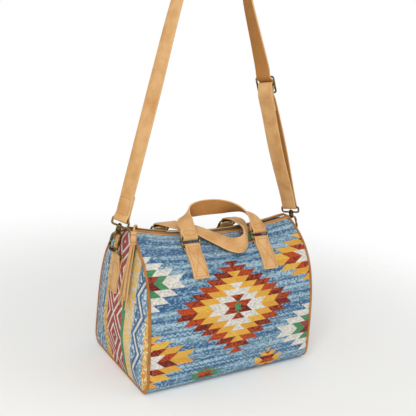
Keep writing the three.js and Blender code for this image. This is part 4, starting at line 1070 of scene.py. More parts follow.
def threads(name, frames, lines, thickness, body, trim):
    """A piece of waxed thread, sewn along lines on a strip's outer face."""
    bm = bmesh.new()
    for line in lines:
        sew(bm, frames, line, thickness / 2, trim)
    piece(name, bm, [finish("waxed_thread")], body, "tan_leather")


def brass_wire(name, points, normal, radius, body, node):
    """A piece of brass wire bent to a closed ring."""
    bm = bmesh.new()
    wire(bm, points, normal, radius)
    piece(name, bm, [finish("antiqued_brass")], body, "aged_brass", node)


def doubled(layer, downs, turn, trim):
    """Frames of a doubled tab: up its inner layer, round a ring's bar and down its outer layer."""
    under = FIT + trim.tab_leather / 2
    over = under + trim.tab_leather + FIT
    inner = [layer(down, under, -1) for down in downs]
    outer = [layer(down, over, 1) for down in reversed(downs)]
    return lay(inner + turn + outer)


class BAG_OT_panel(bpy.types.Operator):
    """One length of kilim for front, base and back"""

    bl_idname = "bag.panel"
    bl_label = "Kilim panel"

    def execute(self, context):
        body, trim = the_body(), context.scene.bag_trim
        order = body.section(PANEL_STEPS)
        rings = []
        xs = spread(-body.panel_half, body.panel_half, PANEL_COLUMNS)
        for x in xs:
            outer, inner = [], []
            for face, s in order:
                pressed = hollow(body, trim, x, face, s.run)
                for line, inset in ((outer, pressed), (inner, pressed + CLOTH_SHARE * body.size.wall)):
                    at = s.at - s.out * inset
                    line.append(body.soften(x, face, Vector((max(at.x, 0.0), at.y)), s.at.y))
            rings.append(outer + inner[::-1])
        runs = [face * s.run for face, s in order]
        marks = runs + runs[::-1] + runs[:1]
        kinds = [0] * (len(order) - 1) + [1] * (len(order) + 1)
        bm = bmesh.new()
        skin(bm, rings, marks, xs, kinds, paired=True)
        cloths = [finish("flat_woven_wool_kilim"), finish("lining_cotton")]
        piece("kilim_panel", bm, cloths, "bag", "kilim_cloth", "main_panel")
        return {"FINISHED"}


class BAG_OT_ends(bpy.types.Operator):
    """Domed kilim gussets with a leather bead in each end seam"""

    bl_idname = "bag.ends"
    bl_label = "End panels and piping"

    def execute(self, context):
        body, trim = the_body(), context.scene.bag_trim
        order = body.section(END_STEPS)
        rim = []
        for face, s in order:
            at = s.at - s.out * body.rim_inset
            rim.append(Vector((face * max(at.x, 0.0), at.y)))
        shares = [DOME_MIDDLE] + spread(DOME_FIRST, 1.0, DOME_RINGS)
        half_wall = body.size.wall / 2
        for name, side in SIDES.items():
            bm = bmesh.new()
            inner = [self.ring(body, side, rim, share, -half_wall) for share in shares]
            outer = [self.ring(body, side, rim, share, half_wall) for share in reversed(shares)]
            rings = inner + outer
            skin(bm, rings, [0.0] * (len(rim) + 1), [0.0] * len(rings), [0] * len(rim))
            layer = bm.loops.layers.uv.verify()
            for face in bm.faces:
                for corner in face.loops:
                    corner[layer].uv = corner.vert.co.yz
            cloth = [finish("banded_wool_kilim")]
            piece(f"gusset_{name}", bm, cloth, "bag", "kilim_end", f"end_panel_{name}")
            bead = bmesh.new()
            wire(bead, self.bead_line(body, trim, side, order), ALONG_X, trim.piping)
            leather = [finish("brown_leather_piping")]
            piece(f"piping_bead_{name}", bead, leather, "bag", "piping_leather", f"piping_{name}")
        return {"FINISHED"}

    def ring(self, body, side, rim, share, thickness):
        """One ring of the dome, pressed in softly away from its tab."""
        points = []
        for at in rim:
            y, z = at.x * share, END_CENTRE + (at.y - END_CENTRE) * share
            clear = smoothstep(abs(y), *END_TAB_FADE) * (1 - share ** 4)
            drift = math.sin(40 * z + 26 * y) * math.sin(23 * z - 31 * y)
            pressed = body.size.slack * clear * (0.5 + 0.5 * drift)
            x = body.half + thickness + body.size.end_bulge * (1 - share ** 2) - pressed
            points.append(Vector((side * x, y, z)))
        return points

    def bead_line(self, body, trim, side, order):
        """Middle line of the bead, which stands proud of the wall above the base."""
        points = []
        for face, s in order:
            inset = trim.piping - PIPING_PROUD * smoothstep(s.at.y, 0, PIPING_RISE)
            at = s.at - s.out * inset
            points.append(Vector((side * body.half, face * at.x, at.y)))
        return points


class BAG_OT_inside(bpy.types.Operator):
    """Cotton lining and the stiff board in the base"""

    bl_idname = "bag.inside"
    bl_label = "Lining and board"

    def execute(self, context):
        for node, name in (("lining", "lining_cotton"), ("base_board", "pressed_board")):
            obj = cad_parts[node]
            obj.data.materials.clear()
            obj.data.materials.append(finish(name))
        return {"FINISHED"}


class BAG_OT_zip(bpy.types.Operator):
    """Zip with brass teeth, bound edges, slider and pull"""

    bl_idname = "bag.zip"
    bl_label = "Zip"

    def execute(self, context):
        body, trim = the_body(), context.scene.bag_trim
        for name, face in FACES.items():
            self.tape(body, name, face)
            self.binding(body, trim, name, face)
        self.slider(body)
        return {"FINISHED"}

    def tape(self, body, name, face):
        """One tape and its row of teeth along the zip's arc."""
        middle = face * (CHAIN_GAP + TAPE_WIDTH) / 2
        level = body.tape_top - TAPE_THICKNESS / 2
        stations = [
            (Vector((x, middle, level - body.zip_drop(x))), UP)
            for x in spread(-body.zip_half, body.zip_half, ZIP_STATIONS)
        ]
        bm = bmesh.new()
        inset = TOOTH_LENGTH / 2
        inner = [(at + ALONG_Y * (face * inset), out) for at, out in stations]
        strip(bm, lay(inner, TAPE_PER_SPAN), TAPE_WIDTH - 2 * inset, TAPE_THICKNESS * TAPE_CLOTH)
        cotton = [finish("zip_tape_cotton")] * 3
        piece(f"zip_cloth_{name}", bm, cotton, "bag", "zip_cloth", f"zip_tape_{name}")
        teeth = bmesh.new()
        count = int(body.zip_half / TOOTH_PITCH) - 1
        for step in range(-count, count + 1):
            x = step * TOOTH_PITCH + face * TOOTH_PITCH / 4
            lean = math.asin(x / body.sag_radius)
            at = Vector((x, face * (CHAIN_GAP + TOOTH_LENGTH) / 2, level - body.zip_drop(x)))
            size = Matrix.Diagonal((TOOTH_WIDTH, TOOTH_LENGTH, TAPE_THICKNESS, 1))
            turn = Matrix.Rotation(-lean, 4, "Y")
            bmesh.ops.create_cube(teeth, size=1, matrix=Matrix.Translation(at) @ turn @ size)
        piece(f"zip_teeth_{name}", teeth, [finish("antiqued_brass")], "bag", "aged_brass")

    def binding(self, body, trim, name, face):
        """Leather strip over the panel's raw edge, sewn along its outer side."""
        stations = []
        for x in spread(-body.zip_half, body.zip_half, ZIP_STATIONS):
            place = body.on_panel(x, face, trim.binding_width / 2 - BINDING_OVERHANG)
            out = Vector((0, place.out.y, place.out.z)).normalized()
            stations.append((place.at + out * (BINDING_LEATHER / 2 + 2 * FIT), out))
        frames = lay(stations, BINDING_PER_SPAN)
        bm = bmesh.new()
        strip(bm, frames, trim.binding_width, BINDING_LEATHER)
        leather = [finish("brown_leather_piping"), finish("tan_leather_flesh"), finish("tan_leather_edge")]
        piece(f"binding_{name}", bm, leather, "bag", "piping_leather", f"zip_binding_{name}")
        across = -face * (trim.binding_width / 2 - BINDING_INSET)
        row = (across, ROW_END), (across, frames[-1].run - ROW_END)
        threads(f"binding_thread_{name}", frames, [row], BINDING_LEATHER, "bag", trim)

    def slider(self, body):
        """Slider from its solid, and the wire pull."""
        copy_of("zip_slider", "slider")
        turn = to_slider(body)
        pivot, direction = pull_line(body)
        middle = pivot + direction * (PULL_LENGTH / 2)
        ring = rounded_frame(middle, ALONG_Y, direction, PULL_WIDTH / 2, PULL_LENGTH / 2, 2 * PULL_WIRE)
        normal = turn.to_3x3() @ ALONG_Y.cross(direction)
        brass_wire("pull_wire", [turn @ at for at in ring], normal, PULL_WIRE, "pull", "zip_pull")


def to_slider(body):
    """Carries a piece from mid length round the zip's arc to the slider's rest."""
    rest = -body.zip_half + SLIDER_END_GAP + SLIDER_LENGTH / 2
    centre = body.tape_top - body.size.top_sag + body.sag_radius
    lift = Matrix.Translation((0, 0, centre))
    turn = Matrix.Rotation(-math.asin(rest / body.sag_radius), 4, "Y")
    return lift @ turn @ Matrix.Translation((0, 0, -centre - body.size.top_sag))


def pull_line(body):
    """The pull's pivot and direction, before it is carried to the slider's rest."""
    pivot = Vector((-BRIDGE_LENGTH / 4, 0, body.tape_top + SLIDER_PLATE + PULL_WIRE + 2 * FIT))
    return pivot, Vector((-math.cos(PULL_LIFT), 0, math.sin(PULL_LIFT)))


def copy_of(node, body):
    """A small metal piece taken over from its solid and shaded smooth."""
    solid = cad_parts[node]
    bm = bmesh.new()
    bm.from_mesh(solid.data)
    bmesh.ops.transform(bm, matrix=solid.matrix_world, verts=bm.verts)
    bmesh.ops.remove_doubles(bm, verts=bm.verts, dist=1e-6)
    for face in bm.faces:
        face.smooth = True
    return piece(f"{node}_metal", bm, [finish("antiqued_brass")], body, "aged_brass", node)


class BAG_OT_tabs(bpy.types.Operator):
    """Sewn tabs that hold the handles' rings"""

    bl_idname = "bag.tabs"
    bl_label = "Tabs and rings"

    def execute(self, context):
        body, trim = the_body(), context.scene.bag_trim
        for face_name, face in FACES.items():
            for side_name, side in SIDES.items():
                self.tab(body, trim, f"{face_name}_{side_name}", handle_x(face_name, side), face)
                self.ring(body, trim, face_name, side_name, handle_x(face_name, side), face)
        return {"FINISHED"}

    def tab(self, body, trim, name, x, face):
        """A doubled tab, sewn down with a crossed box."""
        bar, out, up = ring_seat(body, trim, x, face)

        def layer(down, height, sign):
            place = body.on_panel(x, face, TAB_DOWN + down)
            lift = height + TAB_LIFT * (1 - down / trim.tab_length)
            return place.at + place.out * lift, place.out * sign

        downs = spread(trim.tab_length, trim.tab_length / 4, 3)
        frames = doubled(layer, downs, fold(bar, -out, up, tab_fold(trim)), trim)
        leather_strip(f"tab_{name}_leather", frames, trim.tab_width, trim.tab_leather, "bag", f"tab_{name}")
        end = frames[-1].run - ROW_END
        start = end - trim.tab_length + TAB_ROW_HEAD
        half = trim.tab_width / 2 - TAB_INSET
        cross = ((-half, start), (half, end)), ((half, start), (-half, end))
        rows = box_of(half, start, end), *cross
        threads(f"tab_{name}_thread", frames, rows, trim.tab_leather, "bag", trim)

    def ring(self, body, trim, face_name, side_name, x, face):
        """A rectangular ring in the fold of its tab."""
        lower = ring_seat(body, trim, x, face)[0]
        up = lean_back(face)
        half_width = RING_INNER / 2 + trim.ring_wire
        middle = lower + up * (RING_PITCH / 2)
        points = rounded_frame(middle, ALONG_X, up, half_width, RING_PITCH / 2, RING_CORNER)
        name = f"ring_{face_name}_{side_name}"
        brass_wire(f"{name}_metal", points, ALONG_X.cross(up), trim.ring_wire, f"{face_name}_rings", name)


class BAG_OT_handles(bpy.types.Operator):
    """Twisted leather handles folded and sewn round their rings"""

    bl_idname = "bag.handles"
    bl_label = "Handles"

    def execute(self, context):
        body, trim = the_body(), context.scene.bag_trim
        for name, route in (("front", self.front(body, trim)), ("back", self.back(body, trim))):
            frames = lay(route, HANDLE_PER_SPAN, HANDLE_EASE)
            owner, node = f"{name}_handle", f"handle_{name}"
            leather_strip(f"{node}_leather", frames, trim.handle_width, trim.handle_leather, owner, node)
            half = trim.handle_width / 2 - HANDLE_INSET
            turn = math.pi * handle_fold(trim)
            low = HANDLE_TURN_IN + turn + HANDLE_ROW_END
            high = 2 * HANDLE_TURN_IN + turn - HANDLE_ROW_END
            last = frames[-1].run
            boxes = box_of(half, low, high), box_of(half, last - high, last - low)
            threads(f"{node}_thread", frames, boxes, trim.handle_leather, owner, trim)
        return {"FINISHED"}

    def ring_top(self, body, trim, face_name, side):
        """Place of a ring's upper bar."""
        face = FACES[face_name]
        lower = ring_seat(body, trim, handle_x(face_name, side), face)[0]
        return lower + lean_back(face) * RING_PITCH

    def end(self, trim, bar, along, out):
        """The sewn turn-in and the fold round a ring's upper bar."""
        behind = -(trim.handle_leather + FIT)
        turn_in = [(bar + along * d + out * behind, -out) for d in (HANDLE_TURN_IN, HANDLE_TURN_IN / 2)]
        return turn_in + fold(bar, -out, -along, handle_fold(trim))

    def front(self, body, trim):
        """Stands and leans back: shares of the spacing and of the rise, and the face's turn in degrees."""
        left = self.ring_top(body, trim, "front", SIDES["left"])
        right = self.ring_top(body, trim, "front", SIDES["right"])
        up = lean_back(FACES["front"])
        front = ALONG_X.cross(up).normalized()
        route = (
            (0, 0.19, 0), (0, 0.37, 0), (-0.013, 0.56, 30), (0, 0.74, 76), (0.064, 0.89, 120),
            (0.217, 0.98, 148), (0.42, 1, 150), (0.611, 0.95, 120), (0.771, 0.84, 86),
            (0.885, 0.685, 54), (0.962, 0.475, 18), (1, 0.23, 0),
        )
        stations = []
        for i, (along, rise, turn) in enumerate(route):
            before, after = route[max(i - 1, 0)], route[min(i + 1, len(route) - 1)]
            ahead, climb = (b - a for a, b in zip(before[:2], after[:2]))
            run = Vector((ahead * HANDLE_SPACING, climb * ARCH_RISE)).normalized()
            outside = ALONG_X * -run.y + up * run.x
            turn = math.radians(turn)
            at = left.lerp(right, along) + up * (rise * ARCH_RISE)
            stations.append((at, front * math.cos(turn) + outside * math.sin(turn)))
        return self.end(trim, left, up, front) + stations + self.end(trim, right, up, front)[::-1]

    def back(self, body, trim):
        """Flopped forward over the zip: shares of the spacing, reach and lift, and the outer face."""
        left = self.ring_top(body, trim, "back", SIDES["left"])
        right = self.ring_top(body, trim, "back", SIDES["right"])
        above = LOOP_START.cross(ALONG_X).normalized()
        route = (
            (-0.481, -0.12, 0.77, (-0.18, 0, 0.98)), (-0.394, 0.045, 0.69, (-0.1, -0.1, 1)),
            (-0.225, 0.2, 0.61, (0, -0.25, 0.95)), (-0.0875, 0.47, 0.53, (0, -0.4, 0.9)),
            (0.019, 0.7, 0.53, (0, -0.55, 0.8)), (0.125, 0.895, 0.58, (0.1, -0.7, 0.7)),
            (0.231, 1, 0.79, (0.35, -0.85, 0.45)), (0.325, 0.94, 0.95, (0.75, -0.6, 0.35)),
            (0.381, 0.71, 1, (0.9, -0.2, 0.45)), (0.425, 0.36, 0.9, (0.45, 0.05, 0.9)),
            (0.481, -0.12, 0.74, (0, 0.1, 1)),
        )
        stations = []
        for along, reach, lift, out in route:
            x, y = HANDLE_SHIFT["back"] + along * HANDLE_SPACING, -reach * LOOP_REACH
            stations.append((Vector((x, y, body.crest(x, y) + lift * LOOP_LIFT)), Vector(out).normalized()))
        ends = []
        for bar in (left, right):
            leave = (bar + LOOP_START * (HANDLE_TURN_IN / 2) + above * handle_fold(trim), above)
            ends.append(self.end(trim, bar, LOOP_START, above) + [leave])
        return ends[0] + stations + ends[1][::-1]


def end_tab_fold(trim):
    """Radius of an end tab's middle line round its D-ring."""
    return trim.ring_wire + FIT + trim.tab_leather / 2


def d_ring_seat(body, trim, side):
    """Place of a D-ring's bar in the fold of its tab."""
    top = body.on_end(side, body.size.height - END_TAB_DOWN + end_tab_fold(trim))
    return top.at + top.out * (FIT + trim.tab_leather / 2 + end_tab_fold(trim))


def d_ring_up(side):
    """Direction in which a D-ring stands."""
    return Vector((side * math.sin(D_RING_LEAN), 0, math.cos(D_RING_LEAN)))


class BAG_OT_end_fittings(bpy.types.Operator):
    """End tabs with their D-rings, and the snap hooks linked through them"""

    bl_idname = "bag.end_fittings"
    bl_label = "End tabs, D-rings and hooks"

    def execute(self, context):
        body, trim = the_body(), context.scene.bag_trim
        for name, side in SIDES.items():
            self.tab(body, trim, name, side)
            self.d_ring(body, trim, name, side)
            for node, owner in (("hook_body", "hook"), ("gate_pin", "hook"), ("hook_gate", "gate")):
                copy_of(f"{node}_{name}", f"{owner}_{name}")
        return {"FINISHED"}

    def tab(self, body, trim, name, side):
        """A doubled tab on an end panel, sewn down with a box."""
        head = body.size.height - END_TAB_DOWN
        top = body.on_end(side, head)

        def layer(down, height, sign):
            place = body.on_end(side, head - down)
            return place.at + place.out * height, place.out * sign

        downs = [trim.end_tab_length * share for share in (1, 2 / 3, 1 / 4)]
        turn = fold(d_ring_seat(body, trim, side), -top.out, top.up, end_tab_fold(trim))
        frames = doubled(layer, downs, turn, trim)
        node = f"end_tab_{name}"
        leather_strip(f"{node}_leather", frames, trim.end_tab_width, trim.tab_leather, "bag", node)
        end = frames[-1].run - ROW_END
        box = box_of(trim.end_tab_width / 2 - END_TAB_INSET, end - trim.end_tab_length + TAB_ROW_HEAD, end)
        threads(f"{node}_thread", frames, [box], trim.tab_leather, "bag", trim)

    def d_ring(self, body, trim, name, side):
        """A straight bar, two short sides and a half-round crown."""
        bar, up = d_ring_seat(body, trim, side), d_ring_up(side)
        half = D_RING_INNER / 2 + trim.ring_wire
        corner = D_RING_CORNER * trim.ring_wire
        points = []
        for turn in spread(0, math.pi, ROUND_STEPS):
            rise = D_RING_HEIGHT - (D_RING_HEIGHT - 2 * corner) * (1 - math.sin(turn))
            points.append(bar + ALONG_Y * (half * math.cos(turn)) + up * rise)
        foot = [(-half, corner), (-half + corner / 3, corner / 3), (-half + corner, 0)]
        foot += [(-across, rise) for across, rise in reversed(foot)]
        points += [bar + ALONG_Y * across + up * rise for across, rise in foot]
        node = f"d_ring_{name}"
        brass_wire(f"{node}_metal", points, ALONG_Y.cross(up), trim.ring_wire, node, node)


class Eye:
    """Directions of the strap where it folds round a hook's swivel eye."""

    def __init__(self, body, trim, side):
        lean = HOOK_LEAN[side]
        self.axis = Vector((-side * math.sin(lean), 0, math.cos(lean)))
        crown = d_ring_seat(body, trim, side) + d_ring_up(side) * D_RING_HEIGHT
        self.bow = crown - self.axis * (trim.ring_wire + HOOK_WIRE + LINK_EASE)
        self.foot = 2 * HOOK_HALF_WIDTH + HOOK_STRAIGHT + COLLAR_HEIGHT + FIT
        outward = Vector((side * self.axis.z, 0, -side * self.axis.x))
        self.out = outward * math.cos(TWIST[side]) - ALONG_Y * math.sin(TWIST[side])
        self.across = self.axis.cross(self.out)
        self.low = self.bow + self.axis * (self.foot + EYE_BOSS / 2)
        self.bar = self.low + self.axis * EYE_PITCH


def leg_face(along, side, twist):
    """Outer face of a leg of the strap, turned towards the front."""
    outward = along.cross(ALONG_Y).normalized()
    if outward.x * side < 0:
        outward = -outward
    return outward * math.cos(twist) - ALONG_Y * math.sin(twist)


class BAG_OT_strap(bpy.types.Operator):
    """Shoulder strap woven through its slide, with the swivel eyes at its ends"""

    bl_idname = "bag.strap"
    bl_label = "Shoulder strap"

    def execute(self, context):
        body, trim = the_body(), context.scene.bag_trim
        eyes = {side: Eye(body, trim, side) for side in SIDES.values()}
        brass = [finish("antiqued_brass")]
        down = (eyes[1].bar - SLIDE_AT).normalized()
        out = leg_face(down, SIDES["right"], TWIST[1])
        frames = lay(self.route(trim, eyes, down, out))
        width, thickness = trim.strap_width, trim.strap_leather
        leather_strip("strap_leather", frames, width, thickness, "strap", "shoulder_strap")
        half = width / 2 - STRAP_INSET
        start = STRAP_TURN_IN + math.pi * (trim.ring_wire + thickness / 2)
        box = box_of(half, start + STRAP_ROW_HEAD, start + STRAP_TURN_IN - ROW_END)
        upper, lower = frames[-1].run - SLIDE_TURN_IN, frames[-1].run - TAIL_ROW_END
        tail = (-half, upper), (-half, lower), (half, lower), (half, upper)
        threads("strap_thread", frames, (box, tail), thickness, "strap", trim)
        across = down.cross(out)
        reach = SLIDE_INNER / 2 + trim.slide_wire
        slide = bmesh.new()
        points = rounded_frame(SLIDE_AT, across, down, reach, SLIDE_PITCH, 2 * trim.slide_wire)
        wire(slide, points, out, trim.slide_wire)
        wire(slide, [SLIDE_AT - across * reach, SLIDE_AT + across * reach], out, trim.slide_wire, loop=False)
        piece("slide_metal", slide, brass, "strap", "aged_brass", "strap_slide")
        for name, side in SIDES.items():
            eye = eyes[side]
            bm = bmesh.new()
            half_width = EYE_INNER / 2 + trim.ring_wire
            middle = eye.low.lerp(eye.bar, 0.5)
            points = rounded_frame(
                middle, eye.across, eye.axis, half_width, EYE_PITCH / 2, 2 * trim.ring_wire)
            wire(bm, points, eye.out, trim.ring_wire)
            rim = (POST_RADIUS + FIT, 0), (COLLAR_RADIUS - EYE_SOFT, 0), (COLLAR_RADIUS, EYE_SOFT)
            turned(bm, mirrored(rim, EYE_BOSS), eye.bow + eye.axis * eye.foot, eye.axis)
            piece(f"swivel_eye_{name}_metal", bm, brass, "strap", "aged_brass", f"swivel_eye_{name}")
        return {"FINISHED"}

    def route(self, trim, eyes, down, out):
        """Sewn end, left eye, left leg, arch, right leg, slide, right eye, slide again."""
        left, right = eyes[-1], eyes[1]
        bend = trim.ring_wire + FIT + trim.strap_leather / 2
        run = (STRAP_LEFT_TOP - left.bar).normalized()
        face = leg_face(run, SIDES["left"], TWIST[-1])
        lap = trim.strap_leather + FIT
        sewn = [(left.bar + run * (STRAP_TURN_IN * share) - face * lap, -face) for share in (1, 0.5, 0.25)]
        left_fold = fold(left.bar, -left.out, -left.axis, bend)
        leg = [(left.bar + run * (STRAP_TURN_IN * share), face) for share in (0.25, 0.5, 1, 2)]
        fall = (SLIDE_AT - STRAP_RIGHT_TOP).normalized()
        left_haunch = STRAP_CROWN.lerp(STRAP_LEFT_TOP, 0.5) + (UP - ALONG_X) * ARCH_SPRING
        right_haunch = STRAP_CROWN.lerp(STRAP_RIGHT_TOP, 0.5) + (UP + ALONG_X) * ARCH_SPRING
        arch = [
            (left.bar.lerp(STRAP_LEFT_TOP, 0.6), face),
            (STRAP_LEFT_TOP, leg_face(run, SIDES["left"], TWIST[-1] / 2)),
            (left_haunch, Vector((-0.75, -0.1, 0.65))),
            (STRAP_CROWN, UP),
            (right_haunch, Vector((0.75, 0, 0.65))),
            (STRAP_RIGHT_TOP, leg_face(fall, SIDES["right"], 0)),
            (STRAP_RIGHT_TOP.lerp(SLIDE_AT, 0.5), leg_face(fall, SIDES["right"], TWIST[1] / 2)),
        ]
        reach = (right.bar - SLIDE_AT).length
        near_eye = reach - 2 * EYE_PITCH
        under = -(trim.slide_wire + trim.strap_leather / 2 + SLIDE_EASE)
        layer = trim.strap_leather + 4 * FIT
        lowest = SLIDE_PITCH + SLIDE_TURN_IN

        def stations(pairs, facing):
            return [(SLIDE_AT + down * distance + out * offset, facing) for distance, offset in pairs]

        weave_in = stations((
            (-2 * SLIDE_PITCH, under / 2), (-SLIDE_PITCH, under), (0, layer - under + SLIDE_EASE / 2),
            (SLIDE_PITCH, under), (2 * SLIDE_PITCH, 0), (reach / 2, DOUBLE_GAP / 2), (near_eye, bend)), out)
        right_fold = fold(right.bar, right.out, -right.axis, bend)
        rise = stations((
            (near_eye, -bend), (reach / 2, -DOUBLE_GAP), (lowest, under - 2 * layer),
            (SLIDE_PITCH, under - 2 * layer)), -out)
        wrap = fold(SLIDE_AT, -out, -down, -under)
        tail = stations([(d, under - layer) for d in spread(SLIDE_PITCH, lowest, 2)], out)
        return sewn + left_fold + leg + arch + weave_in + right_fold + rise + wrap + tail


class BAG_OT_tassel(bpy.types.Operator):
    """Leather tassel laced to the zip pull"""

    bl_idname = "bag.tassel"
    bl_label = "Tassel"

    def execute(self, context):
        body = the_body()
        pivot, direction = pull_line(body)
        tip = to_slider(body) @ (pivot + direction * PULL_LENGTH)
        top = Vector((-body.half - TASSEL_OUT, -TASSEL_FORWARD, body.size.height + TASSEL_RISE))
        foot = top - UP * TASSEL_HEAD
        pieces = self.lace(tip, top), *self.band(foot), self.fringe(foot)
        beside = (tip - top).cross(UP).normalized()
        level = (UP + beside * TASSEL_TIP).normalized()
        level -= (tip - top) * level.dot(tip - top) / (tip - top).length_squared
        for soft in pieces:
            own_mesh(soft)
        return {"FINISHED"}

    def lace(self, tip, top):
        """A thong from the pull's eye to the tassel's head."""
        grip = PULL_WIRE + LACE_RADIUS + 2 * FIT
        stations = [
            tip + Vector((grip, 0, -grip)), tip + Vector((grip, 0, 0)), tip + Vector((grip / 2, 0, grip)),
            tip + Vector((-grip, -grip, grip)), tip.lerp(top, 0.5) + UP * LACE_RISE,
            top + UP * (3 * LACE_RADIUS), top + UP * FIT,
        ]
        spans = len(stations) - 1
        bm = bmesh.new()
        tube(bm, [catmull(stations, place) for place in spread(0, spans, LACE_PER_SPAN * spans)], LACE_RADIUS)
        leather = [finish("tan_leather_grain")]
        return piece("tassel_lace_thong", bm, leather, "tassel", "tan_leather", "tassel_lace")

    def band(self, foot):
        """A rolled band of leather, nipped by two rows of thread."""
        r, nipped = TASSEL_RADIUS, TASSEL_RADIUS - BAND_NIP
        end = [(TASSEL_RADIUS - TASSEL_LEATHER, 0), (nipped, 0), (r, BAND_GROOVE)]
        end += [(r, BAND_ROW - BAND_GROOVE), (nipped, BAND_ROW), (r, BAND_ROW + BAND_GROOVE)]
        bm = bmesh.new()
        turned(bm, mirrored(end, TASSEL_HEAD), foot, UP)
        leather = [finish("tan_leather_grain")]
        roll = piece("tassel_band_leather", bm, leather, "tassel", "tan_leather", "tassel_band")
        rows = bmesh.new()
        turns = spread(0, 2 * math.pi, ROUND_STEPS)[:-1]
        for height in (BAND_ROW, TASSEL_HEAD - BAND_ROW):
            ring = [foot + Vector((r * math.cos(t), r * math.sin(t), height)) for t in turns]
            wire(rows, ring, UP, BAND_THREAD, sides=THREAD_SIDES)
        return roll, piece("tassel_band_thread", rows, [finish("waxed_thread")], "tassel", "tan_leather")

    def fringe(self, foot):
        """Suede strips that splay and curl a little as they fall."""
        core = TASSEL_RADIUS - TASSEL_LEATHER - FIT
        chance = random.Random(FRINGE_SEED)
        # Shares of the fall, of the spread and of the way out
        fall = (0, 0.1, 0), (0.2, 0.2, 0.21), (0.55, 0.6, 0.64), (1, 1, 1)
        bm = bmesh.new()
        for i in range(FRINGE_STRIPS):
            share = 2 * i / (FRINGE_STRIPS - 1) - 1
            drop = FRINGE_LENGTH * (1 - FRINGE_STEP * ((i * 3) % 4))
            sway = chance.uniform(-FRINGE_SWAY, FRINGE_SWAY)
            stations = []
            for down, swing, out in fall:
                y = foot.y + share * (core - FRINGE_CLEAR) * (1 - swing) + share * FRINGE_SPREAD * swing
                x = foot.x - out * FRINGE_OUT - FRINGE_LAYER * (i % 2)
                at = Vector((x, y + sway * math.sin(FRINGE_WAVE * down), foot.z - 2 * FIT - down * drop))
                turn = share * FRINGE_FAN + chance.uniform(-FRINGE_TWIST, FRINGE_TWIST) * down
                stations.append((at, Vector((-1, turn, 0)).normalized()))
            strip(bm, lay(stations), FRINGE_WIDTH, FRINGE_SUEDE * TASSEL_LEATHER)
        head = TASSEL_HEAD - FIT
        turned(bm, [(CORE_BORE, -CORE_DROP), (core, -CORE_DROP), (core, head), (CORE_BORE, head)], foot, UP)
        return piece("tassel_fringe_suede", bm, hide(), "tassel", "tan_leather", "tassel_fringe")


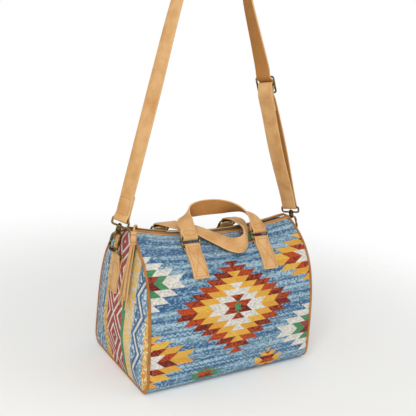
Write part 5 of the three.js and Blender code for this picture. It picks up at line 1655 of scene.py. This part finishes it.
class BAG_OT_stage(bpy.types.Operator):
    """Pale floor, soft studio light and the photo's camera"""

    bl_idname = "bag.stage"
    bl_label = "Stage"

    def execute(self, context):
        scene = context.scene
        self.floor(scene)
        self.lights(scene)
        self.camera(scene)
        scene.view_settings.view_transform = "Standard"
        return {"FINISHED"}

    def floor(self, scene):
        """A wide sheet just under the base."""
        bm = bmesh.new()
        bmesh.ops.create_grid(bm, x_segments=1, y_segments=1, size=FLOOR_HALF)
        mesh = bpy.data.meshes.new("floor")
        bm.to_mesh(mesh)
        bm.free()
        mesh.materials.append(finish("pale_paper_floor"))
        floor = bpy.data.objects.new("floor", mesh)
        floor.location.z = -FLOOR_DROP
        scene.collection.objects.link(floor)

    def lights(self, scene):
        """A broad key from the front left, a weaker fill from the right, and an even pale sky."""
        world = bpy.data.worlds.new("studio")
        scene.world = world
        world.use_nodes = True
        world.node_tree.nodes.clear()
        add = functools.partial(add_node, world.node_tree)
        path = add("ShaderNodeLightPath").outputs
        reflected = add(MATH, path["Is Glossy Ray"], path["Is Transmission Ray"], operation="MAXIMUM")
        seen = add(MATH, path["Is Camera Ray"], reflected, operation="MAXIMUM")
        strength = add(MAP, seen, 0.0, 1.0, SKY_LIGHT, 1.0)
        add("ShaderNodeOutputWorld", add("ShaderNodeBackground", Strength=strength, Color=WHITE))
        for name, place, size, power in LAMPS:
            light = bpy.data.lights.new(name, "AREA")
            light.size = size
            light.energy = power
            lamp = bpy.data.objects.new(name, light)
            lamp.location = place
            lamp.rotation_euler = (LAMP_AIM - lamp.location).to_track_quat("-Z", "Y").to_euler()
            scene.collection.objects.link(lamp)

    def camera(self, scene):
        """The photo's view, with the slight roll of its frame."""
        level = Vector((math.sin(VIEW_YAW), math.cos(VIEW_YAW), 0))
        look = level * math.cos(VIEW_RISE) - UP * math.sin(VIEW_RISE)
        right = look.cross(UP).normalized()
        up = right.cross(look)
        x = right * math.cos(VIEW_ROLL) + up * math.sin(VIEW_ROLL)
        y = up * math.cos(VIEW_ROLL) - right * math.sin(VIEW_ROLL)
        data = bpy.data.cameras.new("photo_view")
        data.lens = VIEW_LENS
        data.sensor_width = VIEW_SENSOR
        camera = bpy.data.objects.new("photo_view", data)
        turn = Matrix((x, y, -look)).transposed().to_4x4()
        camera.matrix_world = Matrix.Translation(VIEW_AIM - look * VIEW_DISTANCE) @ turn
        scene.collection.objects.link(camera)
        scene.camera = camera


STEPS = (
    BAG_OT_panel, BAG_OT_ends, BAG_OT_inside, BAG_OT_zip, BAG_OT_tabs, BAG_OT_handles,
    BAG_OT_end_fittings, BAG_OT_strap, BAG_OT_tassel, BAG_OT_stage,
)


class BAG_PT_panel(bpy.types.Panel):
    """The bag's sizes, colours and building steps"""

    bl_idname = "BAG_PT_panel"
    bl_label = "Boston Bag"
    bl_space_type = "VIEW_3D"
    bl_region_type = "UI"
    bl_category = "Bag"

    def draw(self, context):
        scene = context.scene
        for group in (scene.bag_sizes, scene.bag_trim, scene.bag_colours):
            box = self.layout.box()
            for name in group.bl_rna.properties.keys():
                if name not in {"rna_type", "name"}:
                    box.prop(group, name)
        for step in STEPS:
            self.layout.operator(step.bl_idname)


GROUPS = {"bag_sizes": BagSizes, "bag_trim": TrimSizes, "bag_colours": BagColours}
CLASSES = (*GROUPS.values(), *STEPS, BAG_PT_panel)


def register():
    """Adds the classes, and the bag's settings to every scene."""
    for cls in CLASSES:
        bpy.utils.register_class(cls)
    for name, group in GROUPS.items():
        setattr(bpy.types.Scene, name, bpy.props.PointerProperty(type=group))


def unregister():
    """Takes away what register added."""
    for name in GROUPS:
        delattr(bpy.types.Scene, name)
    for cls in reversed(CLASSES):
        bpy.utils.unregister_class(cls)


def main():
    """Builds the bag step by step."""
    register()
    for step in STEPS:
        group, name = step.bl_idname.split(".")
        getattr(getattr(bpy.ops, group), name)()
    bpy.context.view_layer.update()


if __name__ == "__main__":
    main()
